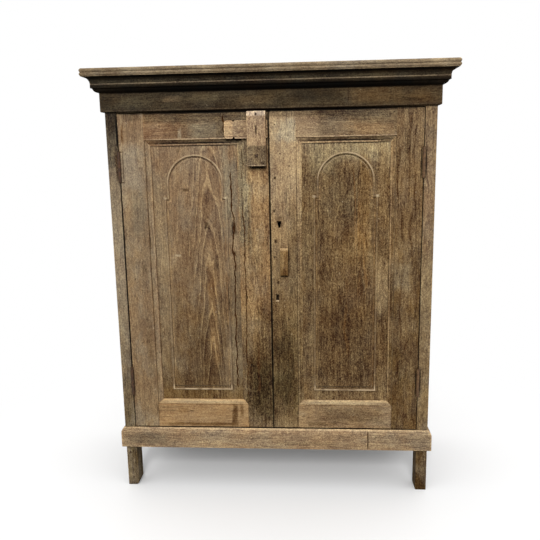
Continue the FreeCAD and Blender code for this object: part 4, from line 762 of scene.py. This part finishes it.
INSIDE_RUN = [(-600, (112, 91, 66)), (600, (118, 96, 70))]
BACK_PLANKS = ("x", -512, 204.7)
BACK_SEAM_PITCH = 204.5
FLOOR_PLANKS = ("y", -170, 137)
SHARED_BOARDS = [
    (dict(PLAIN_LEVEL, seed=21, grey=0.3, tones=INSIDE_RUN, contrast=1.0, run=8,
          # The line is painted shadow under the frieze
          lines=[(0, 1356, 1100, 12, BLACK, 0.95)], back=-100 * MM),
     ["front_top_rail", "front_bottom_rail", "rear_top_rail", "rear_bottom_rail"]),
    (dict(axes=FLAT, seed=22, figure=(0.05, 0.2, 0.06, 0.012), grey=0.4, tones=INSIDE_RUN, contrast=1.0,
          run=8, planks=FLOOR_PLANKS),
     ["floor_boards", "upper_shelf", "lower_shelf", "shelf_cleats"]),
    (dict(axes=UPRIGHT, seed=23, figure=(0.1, 0.15, 0.04, 0.012), grey=0.35, contrast=1.0, run=8, rings=0.2,
          planks=BACK_PLANKS, tones=[(0, (122, 101, 75)), (700, (132, 109, 81)), (1500, (126, 105, 79))],
          patches=[
              (0, 215, 1100, 70, (84, 68, 48), 0.7), (-330, 420, 300, 330, (106, 86, 61), 0.7),
              (210, 330, 240, 200, (96, 78, 55), 0.6), (-180, 1180, 260, 360, (146, 127, 100), 0.6),
              (380, 960, 220, 500, (142, 121, 92), 0.6), (40, 760, 180, 300, (112, 92, 67), 0.6),
              (-420, 900, 120, 420, (140, 121, 95), 0.5), (160, 1330, 420, 160, (104, 87, 65), 0.6),
          ],
          drips=[
              (-250, 1120, 12, 520, DRIP, 0.45), (130, 900, 10, 620, DRIP, 0.45),
              (340, 620, 12, 480, DRIP, 0.45), (-60, 1260, 10, 300, DRIP, 0.45),
              (-400, 560, 10, 420, DRIP, 0.4),
          ],
          # The lines are painted shade in the gaps between the back boards
          lines=[(seam * BACK_SEAM_PITCH, 840, 3, 1300, BLACK, 0.75) for seam in (-1.5, -0.5, 0.5, 1.5)]),
     ["back_boards"]),
    (dict(PLAIN_UPRIGHT, seed=29, grey=0.35, contrast=1.1, run=9,
          tones=[(0, (98, 81, 58)), (240, (118, 97, 71)), (1500, (122, 101, 75))]),
     ["rear_post_left", "rear_post_right"]),
    (dict(axes=SIDE_UPRIGHT, seed=24, figure=(0.05, 0.6, 0.04, 0.012), grey=0.45, contrast=1.1, run=9,
          rings=0.2, face=SIDE_FACE,
          tones=[(0, (118, 98, 73)), (800, (132, 111, 84)), (1350, (118, 98, 74)), (1470, (90, 76, 58))],
          patches=[
              (20, 270, 460, 110, (90, 72, 50), 0.7), (20, 1335, 480, 90, (92, 77, 58), 0.7),
              (-90, 960, 150, 320, (148, 129, 101), 0.6), (100, 560, 190, 240, (142, 121, 93), 0.6),
              (-120, 450, 120, 200, (108, 86, 60), 0.6), (130, 1120, 160, 260, (112, 92, 67), 0.6),
          ],
          drips=[
              (-40, 1120, 11, 420, DRIP, 0.5), (90, 1180, 9, 300, DRIP, 0.5), (160, 900, 10, 260, DRIP, 0.45),
              (-130, 620, 9, 240, DRIP, 0.45), (40, 480, 10, 320, DRIP, 0.45),
          ]),
     ["left_side_panels", "right_side_panels"]),
    (dict(PLAIN_SIDE, seed=25, grey=0.4, contrast=1.1, run=9,
          tones=[(-260, (126, 105, 79)), (260, (116, 96, 71))]),
     [f"{hand}_side_{level}_rail" for hand in ("left", "right") for level in ("top", "mid", "bottom")]),
    (dict(PLAIN_SIDE, seed=26, grey=0.1, dirt_and_shade_reach=0.05, gloss=0.03,
          # The line is painted shadow under the cornice
          tones=[(-260, (68, 57, 43)), (260, (64, 53, 39))], lines=[(0, 1422, 1300, 12, BLACK, 0.97)]),
     ["frieze_left", "frieze_right"]),
    (dict(CORNICE, **PLAIN_SIDE, seed=30, tones=[(-260, (50, 42, 31)), (260, (50, 41, 30))]),
     ["cornice_moulding_left", "cornice_moulding_right"]),
    (dict(axes=SIDE_LEVEL, seed=27, figure=(0.3, 0.4, 0.03, 0.011), grey=0.4, wear=0.7,
          tones=[(-260, (140, 116, 88)), (260, (126, 104, 78))]),
     ["base_moulding_left", "base_moulding_right"]),
    (dict(axes=UPRIGHT, seed=28, figure=(0.3, 0.1, 0.02, 0.004), grey=0.2,
          tones=[(0, (116, 97, 73)), (1470, (112, 92, 68))]),
     ["carcass_pegs", "left_door_pegs", "right_door_pegs"]),
]

# Irons are (name, seed, bare colour, rust colour, nodes)

IRONS = [
    ("hinge_iron", 3.1, (92, 68, 46), (120, 90, 59),
     ["right_hinge_post_leaves", "right_hinge_door_leaves", "hinge_pins", "lock_case", "lock_bolt",
      "lock_strike"]),
    ("nail_iron", 8.4, (52, 42, 34), (98, 66, 42),
     ["post_hinge_screws", "left_door_screws", "right_door_screws", "keeper_nails"]),
    ("left_hinge_iron", 5.2, (62, 44, 31), (90, 62, 40),
     ["left_hinge_post_leaves", "left_hinge_door_leaves"]),
]


# Damage, in millimetres. Cracks are (route, width, any knots): a route is (x, z) points, a knot (z, width).
# Holes are (x, z, radius). Notches are (x, z of the edge, half width, depth): a depth below zero goes down

CRACKS = {
    "left_door_panel": [
        ([(-137, 1228), (-132, 1200), (-136, 1166)], 2.6),
        ([(-133, 1156), (-131, 1040), (-126, 980), (-130, 912), (-126, 838), (-128, 716), (-129, 560),
          (-126, 384)], 8.0, [(966, 15), (874, 15), (1040, 10), (655, 10)]),
        ([(-152, 820), (-151, 668)], 2.0),
        ([(-205, 700), (-207, 610)], 1.8),
    ],
    "left_door_meeting_stile": [
        ([(-96, 1236), (-92, 1180), (-98, 1130), (-94, 1056)], 3.6),
        ([(-94, 1044), (-93, 930), (-91, 860), (-92, 700), (-90, 560), (-91, 356)], 7.0,
         [(868, 10), (1000, 8), (740, 8)]),
        ([(-60, 520), (-44, 452), (-26, 402)], 2.4),
        ([(-70, 1150), (-58, 1090)], 1.8),
    ],
    "left_door_top_rail": [
        ([(-150, 1345), (-155, 1326), (-149, 1312), (-157, 1296), (-151, 1282), (-153, 1268)], 6.0,
         [(1330, 10), (1316, 9)]),
        ([(-162, 1333), (-186, 1329)], 3.4),
        ([(-163, 1302), (-184, 1294)], 2.4),
    ],
    "base_moulding_front": [([(337, 231), (339, 206), (336, 172), (337, 159)], 3.0)],
    "right_door_bottom_rail": [([(200, 252), (188, 254)], 2.2)],
}
HOLES = {
    "right_door_meeting_stile": [
        (17, 918, 1.8), (13, 862, 1.6), (63, 880, 2.2), (25, 773, 1.5), (14, 1021, 1.6),
        (18, 1132, 2.4), (12, 1099, 1.4), (74, 1278, 1.6), (19, 1307, 2.6),
    ],
    "front_post_left": [(-537, 130, 2.4), (-530, 29, 2.6)],
    "left_door_hinge_stile": [(-416, 300, 1.6), (-421, 306, 1.2)],
    "frieze_front": [(540, 1400, 2.0), (-545, 1395, 2.0)],
}
NOTCHES = {"sliding_bolt": [(-115.6, 1263.5, 10.3, 7.6), (-115.6, 1322.5, 10.3, -5.7)]}
CRACK_DEPTH = 5.3
CRACK_STEP = 9
CRACK_STRAY = 2.4
CRACK_RETURN_SHARE = 0.75
CRACK_THINNEST_SHARE = 0.5
CRACK_FLOOR_SHARE = 0.6
HOLE_DEPTH = 5
HOLE_SIDES = 10
HOLE_TIP_SHARE = 0.7
CUT_OVERRUN = 6
CUT_SOLVERS = [("EXACT", False), ("EXACT", True), ("MANIFOLD", False)]
KEPT_SHARE = 0.9


def jagged(chance, route, width, knots=()):
    """Close points along a crack's route that stray aside, as (x, z, width), thin at both ends."""
    points = []
    aside = 0.0
    for (x, z), (next_x, next_z) in zip(route, route[1:]):
        count = max(2, round(math.dist((x, z), (next_x, next_z)) / CRACK_STEP))
        for step in range(count):
            share = step / count
            aside = aside * CRACK_RETURN_SHARE + chance.uniform(-CRACK_STRAY, CRACK_STRAY)
            points.append((x + (next_x - x) * share + aside, z + (next_z - z) * share,
                           width * chance.uniform(CRACK_THINNEST_SHARE, 1)))
    points.append((*route[-1], width))
    for level, knot in knots:
        index = min(range(len(points)), key=lambda i: abs(points[i][1] - level))
        points[index] = (*points[index][:2], knot)
    for end in (0, -1):
        points[end] = (*points[end][:2], width * CRACK_THINNEST_SHARE / 2)
    return points


def crack_faces(mesh, points, front):
    """A jagged wedge along the points, from in front of the face down to the crack's floor."""
    rows = []
    for x, z, width in points:
        half = width / 2
        low = half * CRACK_FLOOR_SHARE
        row = [(x - half, front - CUT_OVERRUN, z), (x + half, front - CUT_OVERRUN, z),
               (x + low, front + CRACK_DEPTH, z), (x - low, front + CRACK_DEPTH, z)]
        rows.append([mesh.verts.new(Vector(corner) * MM) for corner in row])
    for upper, lower in zip(rows, rows[1:]):
        for i in range(4):
            j = (i + 1) % 4
            mesh.faces.new((upper[i], lower[i], lower[j], upper[j]))
    mesh.faces.new(rows[0])
    mesh.faces.new(rows[-1][::-1])


def hole_faces(mesh, x, z, radius, front):
    """A pin that tapers into the face, for an old nail hole."""
    middle = front + (HOLE_DEPTH - CUT_OVERRUN) / 2
    matrix = Matrix.Translation(Vector((x, middle, z)) * MM) @ Matrix.Rotation(math.pi / 2, 4, "X")
    bmesh.ops.create_cone(mesh, cap_ends=True, segments=HOLE_SIDES, radius1=radius * MM * HOLE_TIP_SHARE,
                          radius2=radius * MM, depth=(HOLE_DEPTH + CUT_OVERRUN) * MM, matrix=matrix)


def notch_faces(mesh, x, z, half, depth, front, rear):
    """A wedge through a board's edge at height z, to the signed depth, for a carved cusp."""
    corners = [(x - half, z - depth), (x + half, z - depth), (x, z + depth)]
    ends = []
    for y in (front, rear):
        ends.append([mesh.verts.new(Vector((across, y, level)) * MM) for across, level in corners])
    for i in range(3):
        j = (i + 1) % 3
        mesh.faces.new((ends[0][i], ends[0][j], ends[1][j], ends[1][i]))
    mesh.faces.new(ends[0])
    mesh.faces.new(ends[1][::-1])


def add_piece(name, data):
    """A new object in the scene, made from a mesh, a camera or a lamp."""
    piece = bpy.data.objects.new(name, data)
    bpy.context.scene.collection.objects.link(piece)
    return piece


def shown_mesh(piece):
    """A mesh of the piece with its modifiers applied."""
    return bpy.data.meshes.new_from_object(piece.evaluated_get(bpy.context.evaluated_depsgraph_get()))


def volume(mesh):
    """What a mesh holds, or zero where it isn't closed."""
    measured = bmesh.new()
    measured.from_mesh(mesh)
    closed = all(edge.is_manifold for edge in measured.edges)
    result = measured.calc_volume() if closed else 0.0
    measured.free()
    return result


def cut_mesh(piece, tool):
    """The piece less the tool, by the first solver that leaves the piece whole; uncut if none does."""
    uncut = shown_mesh(piece)
    whole = volume(uncut)
    cut = piece.modifiers.new("cut", "BOOLEAN")
    cut.object = tool
    cut.material_mode = "TRANSFER"
    for solver, cuts_itself in CUT_SOLVERS:
        cut.solver = solver
        cut.use_self = cuts_itself
        finished = shown_mesh(piece)
        if whole * KEPT_SHARE < volume(finished) < whole:
            return finished
    return uncut


def damaged(node_name, material, edge):
    """A copy of a node with its cracks, nail holes and notches cut in, which stands for the node."""
    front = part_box(node_name)[0].y / MM
    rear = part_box(node_name)[1].y / MM
    # a panel's bead stands in front of its face
    face = PANEL_FACE / MM if "panel" in node_name else front
    cutter = bmesh.new()
    chance = random.Random(node_name)
    for crack in CRACKS.get(node_name, []):
        crack_faces(cutter, jagged(chance, *crack), face)
    for hole in HOLES.get(node_name, []):
        hole_faces(cutter, *hole, front)
    for notch in NOTCHES.get(node_name, []):
        notch_faces(cutter, *notch, front - CUT_OVERRUN, rear + CUT_OVERRUN)
    bmesh.ops.recalc_face_normals(cutter, faces=cutter.faces)
    cutter_mesh = bpy.data.meshes.new("cutter")
    cutter.to_mesh(cutter_mesh)
    cutter.free()
    cutter_mesh.materials.append(CRACK_DIRT_AND_SHADE)
    tool = add_piece("cutter", cutter_mesh)
    piece = add_piece(node_name + "_worn", NODES[node_name].data.copy())
    piece.data.materials.clear()
    piece.data.materials.append(material)
    wear_edges(piece, edge)
    finished = cut_mesh(piece, tool)
    piece.modifiers.clear()
    piece.data = finished
    bpy.data.objects.remove(tool)
    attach(piece, NODES[node_name]["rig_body"])
    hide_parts(node_name)
    return piece


# Worn edges, with their widths in millimetres

WELD_REACH = 0.01
FLAT_ANGLE = math.radians(0.4)
ARRIS_ANGLE = math.radians(35)
WORN_SEGMENTS = 2
SMALL_EDGE = 0.7
EDGES = {"top_board": 1.5, "base_moulding_front": 1.5, "front_post_left": 2.0, "front_post_right": 2.0,
         "bolt_keeper": 1.4, "sliding_bolt": 1.4, "door_pull": 1.6}


def weld_points(piece):
    piece.modifiers.new("weld", "WELD").merge_threshold = WELD_REACH * MM


def wear_edges(piece, edge):
    """Joins the faces that lie flat together and rounds the arrises by wear."""
    weld_points(piece)
    flat = piece.modifiers.new("flat", "DECIMATE")
    flat.decimate_type = "DISSOLVE"
    flat.angle_limit = FLAT_ANGLE
    worn = piece.modifiers.new("worn_edges", "BEVEL")
    worn.width = edge * MM
    worn.segments = WORN_SEGMENTS
    worn.angle_limit = ARRIS_ANGLE
    worn.harden_normals = True


def even_normals(piece):
    piece.modifiers.new("normals", "WEIGHTED_NORMAL")


def paint(piece, material):
    piece.data.materials.clear()
    piece.data.materials.append(material)
    even_normals(piece)


def dress_wood(node_name, material):
    """Wears a node's edges, cuts its damage where it has any, and gives it its timber."""
    edge = EDGES.get(node_name, SMALL_EDGE)
    if node_name in CRACKS or node_name in HOLES or node_name in NOTCHES:
        even_normals(damaged(node_name, material, edge))
    else:
        wear_edges(NODES[node_name], edge)
        paint(NODES[node_name], material)


for board_name, board in BOARDS.items():
    dress_wood(board_name, wood(board_name + "_timber", **board))
for board, names in SHARED_BOARDS:
    timber = wood(names[0] + "_timber", **board)
    for board_name in names:
        dress_wood(board_name, timber)
for *finish, names in IRONS:
    metal = iron(*finish)
    for node_name in names:
        weld_points(NODES[node_name])
        paint(NODES[node_name], metal)


# Studio: camera, floor, lamp and sky, in metres

CAMERA_PLACE = (0.1368, -2.2312, 1.1975)
CAMERA_YAW = math.radians(3.95)
CAMERA_PITCH = math.radians(-10.55)
CAMERA_ROLL = math.radians(-1.04)
LENS = 40
SENSOR = 36
WHITE = (1, 1, 1, 1)
FLOOR_HALF = 9.0
FLOOR_WHITE = srgb(247, 247, 247)
FLOOR_DULL = srgb(96, 92, 86)
FLOOR_FADE = (0.75, 1.5)
LAMP_TARGET = (0.0, -0.2, 0.75)
LAMP_REACH = 9.0
LAMP_RISE = math.radians(30)
LAMP_SIZE = 2.6
LAMP_POWER = 480
SKY_TOP = 1.1
SKY_LEVEL = 0.6


def add_camera():
    data = bpy.data.cameras.new("camera")
    data.lens = LENS
    data.sensor_width = SENSOR
    camera = add_piece("camera", data)
    turn = Matrix.Rotation(CAMERA_YAW, 4, "Z") @ Matrix.Rotation(math.pi / 2 + CAMERA_PITCH, 4, "X")
    camera.matrix_world = Matrix.Translation(CAMERA_PLACE) @ turn @ Matrix.Rotation(CAMERA_ROLL, 4, "Z")
    bpy.context.scene.camera = camera


def seen_directly(g):
    """One for rays that show the background itself, zero for rays that light the object."""
    path = g.add("LightPath").outputs
    seen = g.math("MAXIMUM", path["Is Camera Ray"], path["Is Glossy Ray"])
    return g.math("MAXIMUM", seen, path["Is Transmission Ray"])


def add_floor():
    """A pale floor that keeps the shadow and fades to white further away."""
    mesh = bpy.data.meshes.new("floor")
    corners = [(x * FLOOR_HALF, y * FLOOR_HALF, 0) for x, y in ((-1, -1), (1, -1), (1, 1), (-1, 1))]
    mesh.from_pydata(corners, [], [(0, 1, 2, 3)])
    floor = add_piece("floor", mesh)
    g = Graph(bpy.data.materials.new("floor_paper"))
    away = g.add("VectorMath", {0: g.place()}, operation="LENGTH").outputs["Value"]
    fade = g.smooth(away, *FLOOR_FADE)
    pale = g.add("BsdfDiffuse", {"Color": FLOOR_WHITE}).outputs[0]
    dull = g.add("BsdfDiffuse", {"Color": FLOOR_DULL}).outputs[0]
    white = g.add("Emission", {"Color": WHITE}).outputs[0]
    near = g.add("MixShader", {0: fade, 1: pale, 2: white}).outputs[0]
    final = g.add("MixShader", {0: seen_directly(g), 1: dull, 2: near}).outputs[0]
    g.add("OutputMaterial", {"Surface": final})
    mesh.materials.append(g.owner)


def add_lamp():
    data = bpy.data.lights.new("key", "AREA")
    data.energy = LAMP_POWER
    data.size = LAMP_SIZE
    lamp = add_piece("key", data)
    level = LAMP_REACH * math.cos(LAMP_RISE)
    lamp.location = Vector(LAMP_TARGET) + Vector((0, -level, LAMP_REACH * math.sin(LAMP_RISE)))
    lamp.rotation_euler = (math.pi / 2 - LAMP_RISE, 0, 0)


def add_sky():
    """Soft light, stronger from above; white where it is seen directly."""
    world = bpy.data.worlds.new("studio")
    bpy.context.scene.world = world
    g = Graph(world)
    where = g.add("TexCoord").outputs["Generated"]
    height = g.add("SeparateXYZ", {0: where}).outputs["Z"]
    level = g.add("MapRange", {"Value": height, "To Min": SKY_LEVEL, "To Max": SKY_TOP}).outputs[0]
    soft = g.add("Background", {"Color": WHITE, "Strength": level}).outputs[0]
    white = g.add("Background", {"Color": WHITE}).outputs[0]
    final = g.add("MixShader", {0: seen_directly(g), 1: soft, 2: white}).outputs[0]
    g.add("OutputWorld", {"Surface": final})


add_camera()
add_floor()
add_lamp()
add_sky()
bpy.context.scene.view_settings.view_transform = "Standard"
